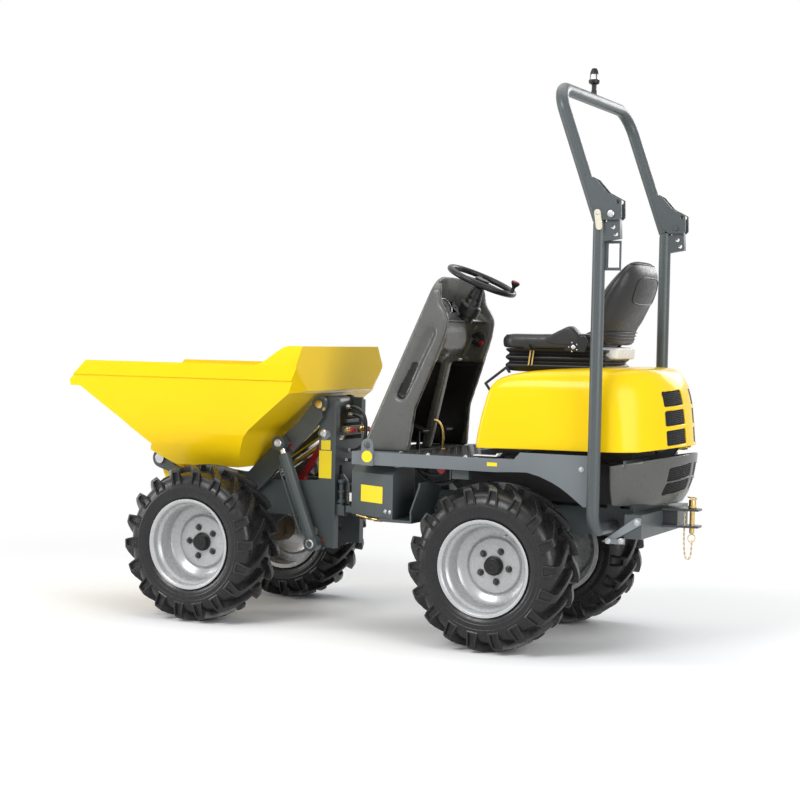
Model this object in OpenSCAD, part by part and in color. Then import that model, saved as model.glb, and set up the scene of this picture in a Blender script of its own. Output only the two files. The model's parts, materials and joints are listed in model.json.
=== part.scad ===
// Articulated site dumper with a high-tip skip, a fold-down roll hoop and a lift-up hood.
// x runs forward, y to the left, z up; lengths are millimetres.
// Inside the modules x is counted from the rear axle and z from the ground.

/* [Wheels] */
// distance between the axles
wheel_base = 1480; // [1460:2:1500]
// radius of a tyre over its lugs
tyre_radius = 364; // [350:1:366]
// width of a tyre
tyre_width = 270; // [240:2:280]
// outer face of a rim, from the middle of the machine
rim_face = 568; // [556:1:580]
// radius over a rim flange
rim_radius = 210; // [190:1:216]
// depth of the wheel disc behind the rim's outer face
disc_depth = 132; // [110:1:150]

/* [Skip] */
// half width over the rim band
skip_half = 440; // [410:1:460]
// reach of the pouring lip ahead of the skip's pivot
lip_reach = 353; // [330:1:380]
// height of the side rim
rim_z = 1200; // [1180:1:1230]
// height of the rear panel
rear_panel_z = 1290; // [1260:1:1320]
// height of the skip's floor
floor_z = 708; // [704:1:716]
// sheet thickness of the skip
skip_wall = 6; // [4:0.5:8]

/* [Lift and tip] */
// length of the lift arm from its pivot to the skip's pivot, along x
arm_reach = 886; // [870:1:900]
// fall of the lift arm from its pivot to the skip's pivot
arm_fall = 296; // [285:1:305]
// height of the arm's pivot
arm_pivot_z = 1016; // [1006:1:1022]
// distance of the tip cylinder's pin below the arm's pivot
tip_pin_drop = 137; // [125:1:145]
// thickness of one arm plate
arm_plate = 20; // [12:1:22]
// radius of a lift cylinder
lift_barrel_r = 29; // [24:0.5:30]
// radius of a tip cylinder
tip_barrel_r = 27; // [22:0.5:28]
// distance of a tip cylinder from the middle of the machine
tip_ram_y = 62; // [58:1:66]

/* [Rear unit] */
// height of the operator's floor
deck_z = 826; // [815:1:835]
// half width of the deck
deck_half = 440; // [420:1:450]
// half width of the hood
hood_half = 415; // [390:1:418]
// height of the hood's top at the seat
hood_z = 1245; // [1230:1:1260]
// wall of the hood
hood_wall = 6; // [4:0.5:10]

/* [Seat and controls] */
// half width of the seat
seat_half = 235; // [200:1:240]
// height of the backrest's top
backrest_z = 1690; // [1660:1:1720]
// radius of the steering wheel
steer_wheel_r = 170; // [150:1:180]
// height of the console's top
console_z = 1622; // [1600:1:1640]

/* [Roll hoop] */
// radius of the hoop's tube
hoop_tube = 27; // [22:0.5:28]
// distance of a post's axis outside the deck's side
post_out = 17; // [14:1:30]
// height of the hoop's top beam
hoop_z = 2407; // [2360:1:2440]
// height of the fold pin
fold_z = 1866; // [1850:1:1880]

/* [Hidden] */
$fn = 48;

yellow = [0.98, 0.82, 0.08];
grey = [0.30, 0.32, 0.33];
dark = [0.16, 0.17, 0.18];
black = [0.07, 0.07, 0.07];
silver = [0.82, 0.83, 0.84];
chrome = [0.75, 0.77, 0.80];
brown = [0.38, 0.30, 0.22];
amber = [0.90, 0.90, 0.92];

axle_z = tyre_radius;
rear_end = 779;
front_x = wheel_base;
tyre_mid = rim_face + 8 - tyre_width / 2;
fit = 0.05;
gap = 6;

// articulation
hinge_x = 850;
hinge_z = 580;
pin_r = 25;
fork_gap = 135;
fork_t = 25;
fork_x = 690;
sway_r = 40;
frame_y = 170;
rail_t = 20;
rail_low = 500;
rail_top = 620;
steer_arm = 140;
steer_y = 130;

// mast, lift arm and tip linkage
mast_y = 110;
mast_t = 20;
mast_out = mast_y + mast_t;
mast_back = 936;
arm_pivot = [1024, arm_pivot_z];
skip_pivot = arm_pivot + [arm_reach, -arm_fall];
tip_pin_at = arm_pivot + [-11, -tip_pin_drop];
tip_eye_at = skip_pivot + [-147, -339];
lift_foot = [1028, axle_z - 2];
lift_eye = arm_pivot + [186, -188];
arm_y = mast_out + gap;
lift_y = arm_y + arm_plate + gap + lift_barrel_r;
eye_half = 22;
lever_t = 14;
lever_in = tip_ram_y - eye_half - gap - lever_t;
lever_out = tip_ram_y + eye_half + gap;
lug_t = 22;
lip_x = skip_pivot[0] + lip_reach;
mid_x = (lip_x - rear_end) / 2;

// roll hoop and hood
sill_z = deck_z + 36;
post_x = -449;
post_y = deck_half + post_out;
fold_x = -508;
fold_pin_r = 11;
joint_half = 15;
joint_plate = 8;
hood_hinge = [-700, sill_z + 28];
hinge_y = 12;

// helpers
module along_y(y0, t) {
    translate([0, y0 + t, 0]) rotate([90, 0, 0]) linear_extrude(t) children();
}
module centred_y(t) {
    along_y(-t / 2, t) children();
}
module along_x(x0, t) {
    translate([x0, 0, 0]) rotate([90, 0, 90]) linear_extrude(t) children();
}
module both() {
    children();
    mirror([0, 1, 0]) children();
}
module rod_y(at, r, y0, y1) {
    translate([at[0], y1, at[1]]) rotate([90, 0, 0]) cylinder(r = r, h = y1 - y0);
}
module box(x0, x1, y0, y1, z0, z1) {
    translate([x0, y0, z0]) cube([x1 - x0, y1 - y0, z1 - z0]);
}
// lays a piece drawn upright at the origin along the line from a to b in the plane y
module aim(a, b, y) {
    translate([a[0], y, a[1]]) rotate([0, atan2(b[0] - a[0], b[1] - a[1]), 0]) children();
}
function unit(v) = v / norm(v);
function left(v) = [-v[1], v[0]];
// corner i of the outline p moved inward by t, the outline running counter-clockwise
function inset(p, t) = [for (i = [0 : len(p) - 1])
    let (n = len(p),
        a = left(unit(p[i] - p[(i + n - 1) % n])),
        b = left(unit(p[(i + 1) % n] - p[i])))
    p[i] + (a + b) * t / (1 + a * b)];
// smooth rise from a to b in n steps
function rise(a, b, n) = [for (i = [0 : n])
    [a[0] + (b[0] - a[0]) * i / n, a[1] + (b[1] - a[1]) * (1 - cos(180 * i / n)) / 2]];

// wheels
lug_count = 18;
lug_height = 30;
lug_sweep = 17;
function ring_point(r, a, y) = [r * cos(a), y, r * sin(a)];
// tyre with two staggered rows of lugs, drawn as rings of points from the middle out to both beads
module tyre_shape() {
    n = lug_count;
    cols = 4 * n;
    pitch = 360 / n;
    w = tyre_width / 2;
    r = tyre_radius;
    bead = (rim_radius - 14) / cos(90 / n) + 0.2;
    // rows of lugs: y and radius of the top, y and radius of the root, sweep, half angles of root and top
    lug_rows = [
        [0, r - lug_height, 0, r - lug_height, 0, 0.35 * pitch, 0.15 * pitch],
        [9, r, 9, r - lug_height, 0.6, 0.16 * pitch, 0.10 * pitch],
        [w - 10, r - 12, w - 30, r - 42, lug_sweep, 0.20 * pitch, 0.14 * pitch],
        [w, r - 82, w - 5, r - 86, lug_sweep + 1, 0.25 * pitch, 0.20 * pitch]];
    side_rows = [[w - 1, r - 104], [w - 10, rim_radius + 9], [w - 26, bead]];
    function lug_ring(row, s, shift) = [for (i = [0 : n - 1], k = [-2, -1, 1, 2])
        let (root = abs(k) == 2, a = i * pitch + shift + row[4] + sign(k) * (root ? row[5] : row[6]))
        root ? ring_point(row[3], a, s * row[2]) : ring_point(row[1], a, s * row[0])];
    function side_ring(row, s, shift) = [for (i = [0 : n - 1], k = [-1, 1])
        ring_point(row[1], i * pitch + shift + lug_sweep + 1 + k * pitch / 4, s * row[0])];
    function half_points(s, shift) = concat([for (j = [1 : 3]) each lug_ring(lug_rows[j], s, shift)],
        [for (row = side_rows) each side_ring(row, s, shift)]);
    middle = lug_ring(lug_rows[0], 1, 0);
    outer = half_points(1, 0);
    inner = half_points(-1, pitch / 2);
    a = cols;
    b = cols + len(outer);
    // number of a point: ring 0 is the middle ring that both halves share
    function lug_at(base, turn, j, i) =
        j == 0 ? (i + turn + cols) % cols : base + (j - 1) * cols + (i + cols) % cols;
    function side_at(base, j, i) = base + 3 * cols + j * 2 * n + (i + 2 * n) % (2 * n);
    function facing(f, s) = s > 0 ? f : [f[2], f[1], f[0]];
    function lug_faces(base, turn, s) = [for (j = [0 : 2], i = [0 : cols - 1])
        let (p = lug_at(base, turn, j, i), q = lug_at(base, turn, j + 1, i + 1))
        each [facing([p, lug_at(base, turn, j + 1, i), q], s),
            facing([p, q, lug_at(base, turn, j, i + 1)], s)]];
    function shoulder_faces(base, turn, s) = [for (i = [0 : n - 1])
        let (p = [for (k = [0 : 4]) lug_at(base, turn, 3, 4 * i + k)],
            q = [for (k = [0 : 2]) side_at(base, 0, 2 * i + k)])
        each [facing([p[0], q[0], p[1]], s), facing([p[1], q[0], q[1]], s), facing([p[1], q[1], p[2]], s),
            facing([p[2], q[1], p[3]], s), facing([p[3], q[1], q[2]], s), facing([p[3], q[2], p[4]], s)]];
    function side_faces(base, s) = [for (j = [0, 1], i = [0 : 2 * n - 1])
        let (p = side_at(base, j, i), q = side_at(base, j + 1, i + 1))
        each [facing([p, side_at(base, j + 1, i), q], s), facing([p, q, side_at(base, j, i + 1)], s)]];
    bore_faces = [for (i = [0 : 2 * n - 1]) each [
        [side_at(a, 2, i), side_at(b, 2, i - 1), side_at(b, 2, i)],
        [side_at(a, 2, i), side_at(b, 2, i), side_at(a, 2, i + 1)]]];
    polyhedron(points = concat(middle, outer, inner), faces = concat(lug_faces(a, 0, 1),
        shoulder_faces(a, 0, 1), side_faces(a, 1), lug_faces(b, 2, -1), shoulder_faces(b, 2, -1),
        side_faces(b, -1), bore_faces), convexity = 6);
}
module rim_shape() {
    w = tyre_width / 2 - 8;
    seat = rim_radius - 14.3;
    disc = w - disc_depth;
    difference() {
        union() {
            rotate([-90, 0, 0]) rotate_extrude($fn = 72) polygon([
                [rim_radius, w], [rim_radius, w - 6], [seat, w - 16], [seat, w - 30], [seat - 14, w - 42],
                [seat - 14, disc + 10], [seat, disc - 10], [seat, 16 - w], [rim_radius, 6 - w],
                [rim_radius, -w], [seat - 7, -w], [seat - 7, disc - 14], [seat - 20, disc - 12],
                [136, disc - 26], [112, disc - 14], [40, disc - 12], [40, disc], [114, disc],
                [134, disc - 12], [150, disc - 10], [seat - 20, disc + 16], [seat - 20, w - 48],
                [seat - 7, w - 34], [seat - 7, w - 12], [seat, w]]);
            rotate([90, 0, 0]) translate([0, 0, -disc + 4]) cylinder(r = 52, h = 96);
            rotate([90, 0, 0]) translate([0, 0, -disc - 34]) cylinder(r = 45, h = 40);
            for (i = [0 : 4]) rotate([0, 72 * i + 18, 0])
                translate([70, disc - 3, 0]) rotate([-90, 0, 0]) cylinder(r = 13, h = 23, $fn = 6);
        }
        rotate([90, 0, 0]) translate([0, 0, -disc - 20]) cylinder(r = 30 + fit, h = 150);
    }
}
module wheel_at(x, side) {
    translate([x, side * tyre_mid, axle_z]) if (side > 0) children(); else mirror([0, 1, 0]) children();
}
module tyre(x, side) {
    color(black) wheel_at(x, side) tyre_shape();
}
module rim(x, side) {
    color(silver) wheel_at(x, side) rim_shape();
}
module axle(x) {
    disc = tyre_mid + tyre_width / 2 - 8 - disc_depth;
    box(x - 50, x + 50, -240, 240, axle_z - 50, axle_z + 50);
    both() {
        rod_y([x, axle_z], 66, 240, disc - 106);
        rod_y([x, axle_z], 30, disc - 106, disc + 15);
    }
}
module rear_axle() {
    color(brown) axle(0);
}
module front_axle() {
    color(brown) axle(front_x);
}

// rear unit
module fork_plan() {
    polygon([[fork_x, -150], [hinge_x, -60], [hinge_x, 60], [fork_x, 150]]);
    translate([hinge_x, 0]) circle(60);
}
module rear_frame() {
    top = hinge_z + fork_gap / 2;
    low = hinge_z - fork_gap / 2;
    foot_z = rail_low + 45;
    color(grey) {
        both() {
            difference() {
                box(-560, fork_x, frame_y, frame_y + rail_t, rail_low, rail_top);
                rod_y([post_x, foot_z], hoop_tube + 0.3, frame_y - 1, frame_y + rail_t + 1);
            }
            box(-60, 60, frame_y - 10, frame_y + rail_t + 10, axle_z + 50, rail_low);
            for (x = [150, 620]) box(x, x + 60, frame_y, frame_y + rail_t, rail_top, deck_z - 10);
            box(-480, -420, frame_y, frame_y + rail_t, rail_top, deck_z - 10);
            box(140, 220, deck_half - 60, deck_half - 30, deck_z - 100, deck_z - beam_h);
        }
        box(-625, -550, -340, 340, rail_low + 10, rail_top - 8);
        along_x(-560, 10) polygon([[-250, rail_top - 8], [250, rail_top - 8], [hood_half - 110, 684],
            [hood_half - 65, 760], [hood_half - 65, sill_z - 22], [65 - hood_half, sill_z - 22],
            [65 - hood_half, 760], [110 - hood_half, 684]]);
        box(-560, -550, -cover_seat, cover_seat, cover_top - 35, cover_top - 2);
        difference() {
            box(fork_x, fork_x + 20, -frame_y - rail_t, frame_y + rail_t, low - fork_t, top + fork_t);
            box(fork_x - 1, fork_x + 21, steer_y - 34, steer_y + 36, hinge_z - 24, hinge_z + 44);
        }
        both() difference() {
            along_y(hinge_y, 10) polygon([[-560, 720], [-560, sill_z - 22], hood_hinge + [20, 14],
                hood_hinge + [-10, 14], hood_hinge + [-10, -14], hood_hinge + [30, -14]]);
            rod_y(hood_hinge, 8 + fit, 0, hinge_y + 20);
        }
        for (x = [-480, -140]) box(x, x + 60, -frame_y, frame_y, rail_top - 30, rail_top - 20);
        difference() {
            for (z = [low - fork_t, top]) translate([0, 0, z]) linear_extrude(fork_t) fork_plan();
            translate([hinge_x, 0, 0]) cylinder(r = pin_r + fit, h = 1000);
            box(hinge_x - 300, fork_x, -200, 200, 0, 1000);
        }
    }
}
module engine_block() {
    color(dark) {
        box(-520, -60, -165, 165, rail_top - 20, 900);
        box(-480, -120, -120, 120, 900, 1120);
    }
}
beam_h = 58;
function fender_side() = [[0, deck_z - beam_h], [-70, deck_z - 54], [-141, deck_z - 52],
    [-200, deck_z - 66], [-255, deck_z - 88], [-295, deck_z - 109], [-331, deck_z - 133],
    [-366, deck_z - 159], [-399, deck_z - 185], [-418, deck_z - 185], [-418, sill_z - 4],
    [-109, sill_z - 4], [-80, deck_z], [0, deck_z]];
module deck() {
    low = deck_z - beam_h;
    color(grey) {
        box(110, 690, -deck_half + 6, deck_half - 6, deck_z - 10, deck_z);
        box(98, 110, -deck_half + 60, deck_half - 60, deck_z - 10, sill_z - 6);
        both() {
            along_y(deck_half - 6, 6) polygon(fender_side());
            box(0, 700, deck_half - 6, deck_half, low, deck_z);
            box(0, 700, deck_half - 30, deck_half - 6, low, low + 6);
            box(-418, 110, deck_half - 60, deck_half - 6, deck_z - 10, deck_z);
            box(690, 700, 60, deck_half - 6, low, deck_z);
            difference() {
                along_y(deck_half, 10) union() {
                    polygon([[588, low - 2], [588, deck_z + 30], [648, deck_z + 30], [648, low - 2]]);
                    translate([618, deck_z + 30]) circle(30);
                }
                rod_y([618, deck_z + 30], 16, deck_half - 1, deck_half + 11);
            }
        }
    }
}
box_low = 530;
box_top = 725;
module box_plan() {
    polygon([[501, frame_y + rail_t], [769, frame_y + rail_t], [769, deck_half - 140],
        [501, deck_half - 20]]);
}
module side_boxes() {
    turn = atan2(120, -268);
    color(grey) both() difference() {
        translate([0, 0, box_low]) linear_extrude(228) box_plan();
        translate([769, deck_half - 140, box_top]) rotate([0, 0, turn]) rotate([40, 0, 0])
            translate([-400, -200, 0]) cube([1200, 800, 300]);
        box(500, 620, 0, frame_y + rail_t + 0.3, rail_top - 1, 900);
    }
}
module steps() {
    y0 = frame_y + rail_t;
    y1 = deck_half - 6;
    color(grey) both() {
        difference() {
            box(400, 501, y0, y1, box_low - 12, box_low);
            for (x = [408 : 24 : 490]) box(x, x + 14, y0 + 90, y1 - 14, box_low - 13, box_low + 1);
        }
        box(501, 567, y0, y1 - 16, box_low - 12, box_low - 0.3);
        along_y(y0, y1 - y0) polygon([[400, box_low - 12], [408, box_low - 12], [410, 570], [369, 684],
            [369, 700], [361, 700], [361, 684], [402, 570]]);
    }
}

// console, hollow at the rear below its dash
console_foot = [700, deck_z];
console_lean = 24.4;
console_bulge = 767;
console_sheet = 18;
console_wing = 35;
module console_front(t) {
    translate([console_foot[0], 0, console_foot[1]]) rotate([0, -console_lean, 0])
        translate([82 - console_bulge, 0, -500]) cylinder(r = console_bulge - t, h = 1800, $fn = 96);
}
function console_width(t) = [[-345 + t, deck_z], [345 - t, deck_z], [275 - t, 1460], [255 - t, console_z],
    [t - 255, console_z], [t - 275, 1460]];
module console_wings() {
    polygon([[900, deck_z], [472, deck_z], [452, 1020], [383, 1200], [333, 1340], [303, 1395], [283, 1463],
        [285, 1540], [300, 1600], [318, console_z], [900, console_z]]);
}
module console_room() {
    polygon([[0, 700], [1100, 700], [1100, 1228], [440, 1228], [345, 1240], [330, 1300], [335, 1400],
        [359, 1430], [400, 1458], [1100, 1520], [1100, 1800], [0, 1800]]);
}
module console_groove() {
    a = [520, 1085];
    b = [385, 1370];
    translate([0, 400, 0]) rotate([90, 0, 0]) linear_extrude(112) {
        translate(a) circle(24);
        translate(b) circle(24);
        translate(a) rotate([0, 0, atan2(b[1] - a[1], b[0] - a[0])]) translate([0, -24])
            square([norm(b - a), 48]);
    }
}
module console() {
    color(dark) {
        difference() {
            intersection() {
                centred_y(800) console_wings();
                along_x(0, 1200) polygon(console_width(0));
                console_front(0);
            }
            intersection() {
                centred_y(800) console_room();
                along_x(-10, 1300) polygon(concat(
                    [for (i = [0, 1]) console_width(console_wing)[i] - [0, 50]],
                    [for (i = [2 : 5]) console_width(console_wing)[i] + [0, i > 2 && i < 5 ? 50 : 0]]));
                console_front(console_sheet);
            }
            both() console_groove();
        }
        along_y(-25, 50) polygon([[420, 1240], [517, deck_z], [557, deck_z], [460, 1240]]);
    }
}
wheel_tilt = 23.6;
wheel_at_xz = [273, 1605];
module column_frame() {
    translate([wheel_at_xz[0], 0, wheel_at_xz[1]]) rotate([0, -wheel_tilt, 0]) children();
}
module steering_column() {
    color(black) {
        difference() {
            column_frame() translate([0, 0, -260]) cylinder(r = 34, h = 150);
            centred_y(200) polygon([[200, 1000], [800, 1000], [800, 1458], [400, 1458], [359, 1430],
                [300, 1395]]);
        }
        column_frame() translate([0, 0, -110]) cylinder(r1 = 34, r2 = 24, h = 75);
        column_frame() translate([0, 0, -35]) cylinder(r = 12, h = 30);
    }
}
module steering_wheel() {
    color(black) column_frame() {
        rotate_extrude() translate([steer_wheel_r - 14, 0]) circle(14);
        difference() {
            union() {
                translate([0, 0, -28]) cylinder(r = 34, h = 36);
                for (a = [60, 180, 300]) rotate([0, 0, a])
                    translate([20, -11, -7]) cube([steer_wheel_r - 34, 22, 9]);
            }
            translate([0, 0, -40]) cylinder(r = 12 + fit, h = 36);
        }
    }
}
module spinner_knob() {
    color(black) column_frame() rotate([0, 0, 180]) translate([steer_wheel_r - 14, 0, 14.3]) {
        cylinder(r = 9, h = 26);
        translate([0, 0, 26]) cylinder(r = 20, h = 26);
    }
}
module pedals() {
    color(black) for (y = [-150, 110]) {
        box(520, 536, y - 6, y + 6, deck_z, deck_z + 90);
        along_y(y - 35, 70) polygon([[490, deck_z + 78], [560, deck_z + 108], [556, deck_z + 118],
            [486, deck_z + 88]]);
    }
}
// plan of the hood and the cover under it, moved inward by t: a wide arc at the rear and arcs at its corners
tail_r = 500;
corner_r = 120;
corner_y = hood_half - corner_r;
corner_in = sqrt(pow(tail_r - corner_r, 2) - pow(corner_y, 2));
corner_turn = asin(corner_y / (tail_r - corner_r));
function tail_plan(front, back, t) = let (
    middle = back + tail_r,
    half = concat(
        [for (i = [0 : 8]) let (a = corner_turn * i / 8)
            [middle - (tail_r - t) * cos(a), (tail_r - t) * sin(a)]],
        [for (i = [1 : 6]) let (a = corner_turn + (90 - corner_turn) * i / 6)
            [middle - corner_in - (corner_r - t) * cos(a), corner_y + (corner_r - t) * sin(a)]],
        [[front, hood_half - t]]))
    concat(half, [for (i = [len(half) - 1 : -1 : 1]) [half[i][0], -half[i][1]]]);
// half width of that plan at x
function tail_half(x, back, t) = let (d = back + tail_r - x)
    d > (tail_r - t) * cos(corner_turn) ? sqrt(pow(tail_r - t, 2) - d * d)
        : corner_y + sqrt(pow(corner_r - t, 2) - pow(d - corner_in, 2));
// upright prism on that plan, leaning forward by an angle about its rear at height z
module tail_prism(front, back, t, z, lean) {
    translate([back, 0, z]) rotate([0, lean, 0]) translate([-back, 0, -900])
        linear_extrude(1800) polygon(tail_plan(front, back, t));
}
cover_back = -745;
cover_low = 644;
cover_top = sill_z - 20;
cover_wall = 8;
cover_seat = tail_half(-560, cover_back, cover_wall) - 0.6;
module cover_form(t) {
    intersection() {
        tail_prism(-200, cover_back, t, cover_top, 0);
        tail_prism(-200, cover_back + 2, t, 760, -17);
        tail_prism(-200, cover_back + 25, t, 684, -39);
    }
}
module cover_solid(t) {
    intersection() {
        cover_form(t);
        centred_y(1200) polygon([[-497, cover_top], [-640, cover_top], [-800, cover_top + 30],
            [-800, cover_low], [-497, cover_low]]);
    }
}
module cover_hollow() {
    intersection() {
        cover_form(cover_wall);
        box(-800, -300, -600, 600, cover_low - 40, 1000);
    }
}
// openings of a side of the rear, sloping up towards the middle
module rear_cut(y0, y1, z0, z1, slope) {
    translate([-700, (y0 + y1) / 2, (z0 + z1) / 2]) rotate([-slope, 0, 0])
        cube([260, y1 - y0, z1 - z0], center = true);
}
module grille_cuts() {
    rear_cut(18, 195, 757, 815, 6);
    rear_cut(18, 195, 698, 748, 6);
}
module rear_cover() {
    color(dark) difference() {
        cover_solid(0);
        cover_hollow();
        both() grille_cuts();
    }
}
module rear_grilles() {
    color(black) both() intersection() {
        difference() {
            cover_solid(3);
            cover_hollow();
        }
        grille_cuts();
    }
}
function hood_outline(drop) = [[122, sill_z + 5 - drop], [128, 924], [106, 1019], [70, hood_z - 103],
    [32, hood_z - 66], [-52, hood_z - 38], [-166, hood_z - 21], [-389, hood_z - 6], [-525, hood_z],
    [-600, hood_z - 8], [-640, hood_z - 22], [-675, hood_z - 48], [-712, hood_z - 95], [-745, 1040],
    [-752, sill_z + 36 - drop], [-600, sill_z + 14 - drop]];
function hood_front(t, drop) = let (h = hood_half - t) [[-h, sill_z + 4 - drop], [h, sill_z + 4 - drop],
    [h, 1040], [h - 8, 1110], [h - 28, 1170], [h - 64, hood_z - 30 - t], [h - 120, hood_z - 7 - t],
    [h - 200, hood_z + 1 - t], [200 - h, hood_z + 1 - t], [120 - h, hood_z - 7 - t],
    [64 - h, hood_z - 30 - t], [28 - h, 1170], [8 - h, 1110], [-h, 1040]];
hood_back = -734;
module hood_solid(t) {
    drop = 10 * t;
    intersection() {
        centred_y(1200) polygon(inset(hood_outline(drop), t));
        along_x(-1000, 1300) polygon(hood_front(t, drop));
        tail_prism(2000, hood_back, t, sill_z + 18, 5);
        tail_prism(2000, hood_back + 27, t, hood_z - 105, 30);
    }
}
module louver_cuts() {
    for (z = [905, 988, 1070]) rear_cut(56, 206, z, z + 64, 3.5);
}
module hood() {
    color(yellow) {
        difference() {
            hood_solid(0);
            hood_solid(hood_wall);
            both() louver_cuts();
        }
        both() {
            intersection() {
                along_y(hinge_y + 16, 8) polygon([[-800, sill_z + 16], hood_hinge + [14, -12],
                    hood_hinge + [16, 20], hood_hinge + [0, 80], [-800, hood_hinge[1] + 80]]);
                hood_solid(hood_wall / 2);
            }
            rod_y(hood_hinge, 8, hinge_y - 4, hinge_y + 20);
        }
    }
}
module hood_louvers() {
    color(black) both() intersection() {
        difference() {
            hood_solid(2);
            hood_solid(hood_wall);
        }
        louver_cuts();
    }
}
module hood_handle() {
    a = [78, hood_z - 121];
    b = [-18, hood_z - 49];
    n = -left(unit(b - a)) * 28;
    color(black) both() difference() {
        for (p = [[a - n * 0.3, a + n], [a + n, b + n], [b + n, b - n * 0.3]]) {
            aim(p[0], p[1], hood_half - 65) cylinder(r = 6, h = norm(p[1] - p[0]));
            translate([p[1][0], hood_half - 65, p[1][1]]) sphere(r = 6);
        }
        hood_solid(0);
    }
}
module seat_base() {
    color(black) difference() {
        box(-400, 60, -190, 190, hood_z - 80, hood_z + 55);
        hood_solid(0);
    }
}
seat_z = hood_z + 55;
function seat_plan() = concat([[-330, -seat_half], [65, -seat_half]],
    [for (i = [-8 : 8]) [65 + 97 * (1 - pow(i / 9, 2)), seat_half * i / 9]],
    [[65, seat_half], [-330, seat_half]]);
module seat_cushion() {
    color(black) translate([0, 0, seat_z]) linear_extrude(74) polygon(seat_plan());
}
module seat_back() {
    h = seat_half;
    top = backrest_z;
    round_r = 320;
    color(black) intersection() {
        centred_y(2 * h) polygon([[-330.3, seat_z + 20], [-330.3, seat_z + 76], [-320, 1410], [-320, 1505],
            [-350, 1545], [-397, 1600], [-450, top - 30], [-487, top], [-512, top - 10], [-533, top - 50],
            [-530, 1560], [-505, 1500], [-450, 1400], [-432, 1345], [-425, seat_z + 20]]);
        along_x(-700, 500) polygon([[-h + 50, seat_z + 20], [h - 50, seat_z + 20], [h - 8, seat_z + 90],
            [h, 1450], [h - 5, 1560], [h - 28, top - 60], [h - 75, top - 15], [h - 130, top], [130 - h, top],
            [75 - h, top - 15], [28 - h, top - 60], [5 - h, 1560], [-h, 1450], [8 - h, seat_z + 90]]);
        translate([round_r - 432, 0, 1345]) rotate([0, -21, 0]) translate([0, 0, -400])
            cylinder(r = round_r, h = 1200, $fn = 96);
    }
}
module rear_post() {
    foot_z = rail_low + 45;
    bend = 75;
    translate([post_x, post_y, foot_z]) {
        translate([0, 0, bend]) cylinder(r = hoop_tube, h = fold_z - 40 - foot_z - bend);
        translate([0, -bend, bend]) rotate([-90, 0, 90])
            rotate_extrude(angle = 90) translate([bend, 0]) circle(hoop_tube);
        rotate([90, 0, 0]) translate([0, 0, bend]) cylinder(r = hoop_tube, h = post_y - bend - frame_y);
    }
    difference() {
        along_y(post_y - joint_half, 2 * joint_half) polygon([[post_x - 18, fold_z - 114],
            [post_x + 18, fold_z - 114], [post_x + 18, fold_z - 54], [fold_x + 22, fold_z - 30],
            [fold_x + 22, fold_z + 20], [fold_x - 20, fold_z + 20], [fold_x - 33, fold_z - 10],
            [fold_x - 37, fold_z - 101]]);
        for (p = [[0, 0, fold_pin_r + fit], [-5, -53, 9], [-18, -83, 9]])
            rod_y([fold_x + p[0], fold_z + p[1]], p[2], post_y - 50, post_y + 50);
    }
}
module roll_posts() {
    color(grey) both() rear_post();
}
hoop_foot_z = fold_z - 30;
hoop_lean = atan2(202, hoop_z - hoop_foot_z);
hoop_leg = (hoop_z - hoop_foot_z) / cos(hoop_lean);
hoop_bend = 113;
module hoop_frame() {
    translate([post_x, 0, hoop_foot_z]) rotate([0, hoop_lean, 0]) children();
}
module roll_hoop() {
    color(grey) {
        hoop_frame() {
            both() {
                translate([0, post_y, 10]) cylinder(r = hoop_tube, h = hoop_leg - hoop_bend - 10);
                translate([0, post_y - hoop_bend, hoop_leg - hoop_bend]) rotate([90, 0, 90])
                    rotate_extrude(angle = 90) translate([hoop_bend, 0]) circle(hoop_tube);
            }
            rod_y([0, hoop_leg], hoop_tube, hoop_bend - post_y, post_y - hoop_bend);
        }
        both() {
            for (y = [post_y - joint_half - gap - joint_plate, post_y + joint_half + gap]) difference() {
                along_y(y, joint_plate) polygon([[post_x + 4, fold_z], [post_x + 24, fold_z + 30],
                    [post_x + 64, fold_z + 152], [post_x + 52, fold_z + 164], [post_x + 11, fold_z + 144],
                    [fold_x + 22, fold_z + 90], [fold_x - 20, fold_z + 68], [fold_x - 42, fold_z + 56],
                    [fold_x - 44, fold_z - 14], [fold_x - 34, fold_z - 24], [fold_x + 36, fold_z - 24]]);
                rod_y([fold_x - 27, fold_z + 50], 9, y - 1, y + joint_plate + 1);
            }
            rod_y([fold_x, fold_z], fold_pin_r, post_y - 36, post_y + 36);
        }
    }
}
module beacon() {
    x = post_x + 202;
    color(amber) {
        translate([x, 0, hoop_z + hoop_tube + 0.3]) cylinder(r = 10, h = 40);
        translate([x, 0, hoop_z + hoop_tube + 40.3]) cylinder(r = 24, h = 40);
        translate([x, 0, hoop_z + hoop_tube + 80.3]) cylinder(r1 = 20, r2 = 8, h = 34);
    }
}
hitch_x = -744;
jaw_low = 539;
jaw_top = 612;
jaw_t = 10;
module tow_hitch() {
    color(grey) difference() {
        union() {
            for (z = [jaw_low, jaw_top]) translate([0, 0, z]) linear_extrude(jaw_t) polygon([[-625, -60],
                [-625, 60], [-700, 45], [-rear_end, 30], [-rear_end, -30], [-700, -45]]);
            box(-690, -625, -38, 38, jaw_low + jaw_t, jaw_top);
        }
        translate([hitch_x, 0, 0]) cylinder(r = 11 + fit, h = 1000);
    }
}
module hitch_pin() {
    color(brown) translate([hitch_x, 0, 0]) {
        translate([0, 0, jaw_low - 20]) cylinder(r = 11, h = jaw_top + jaw_t + 20 - jaw_low);
        translate([0, 0, jaw_top + jaw_t]) cylinder(r = 15, h = 38);
    }
}

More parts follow.
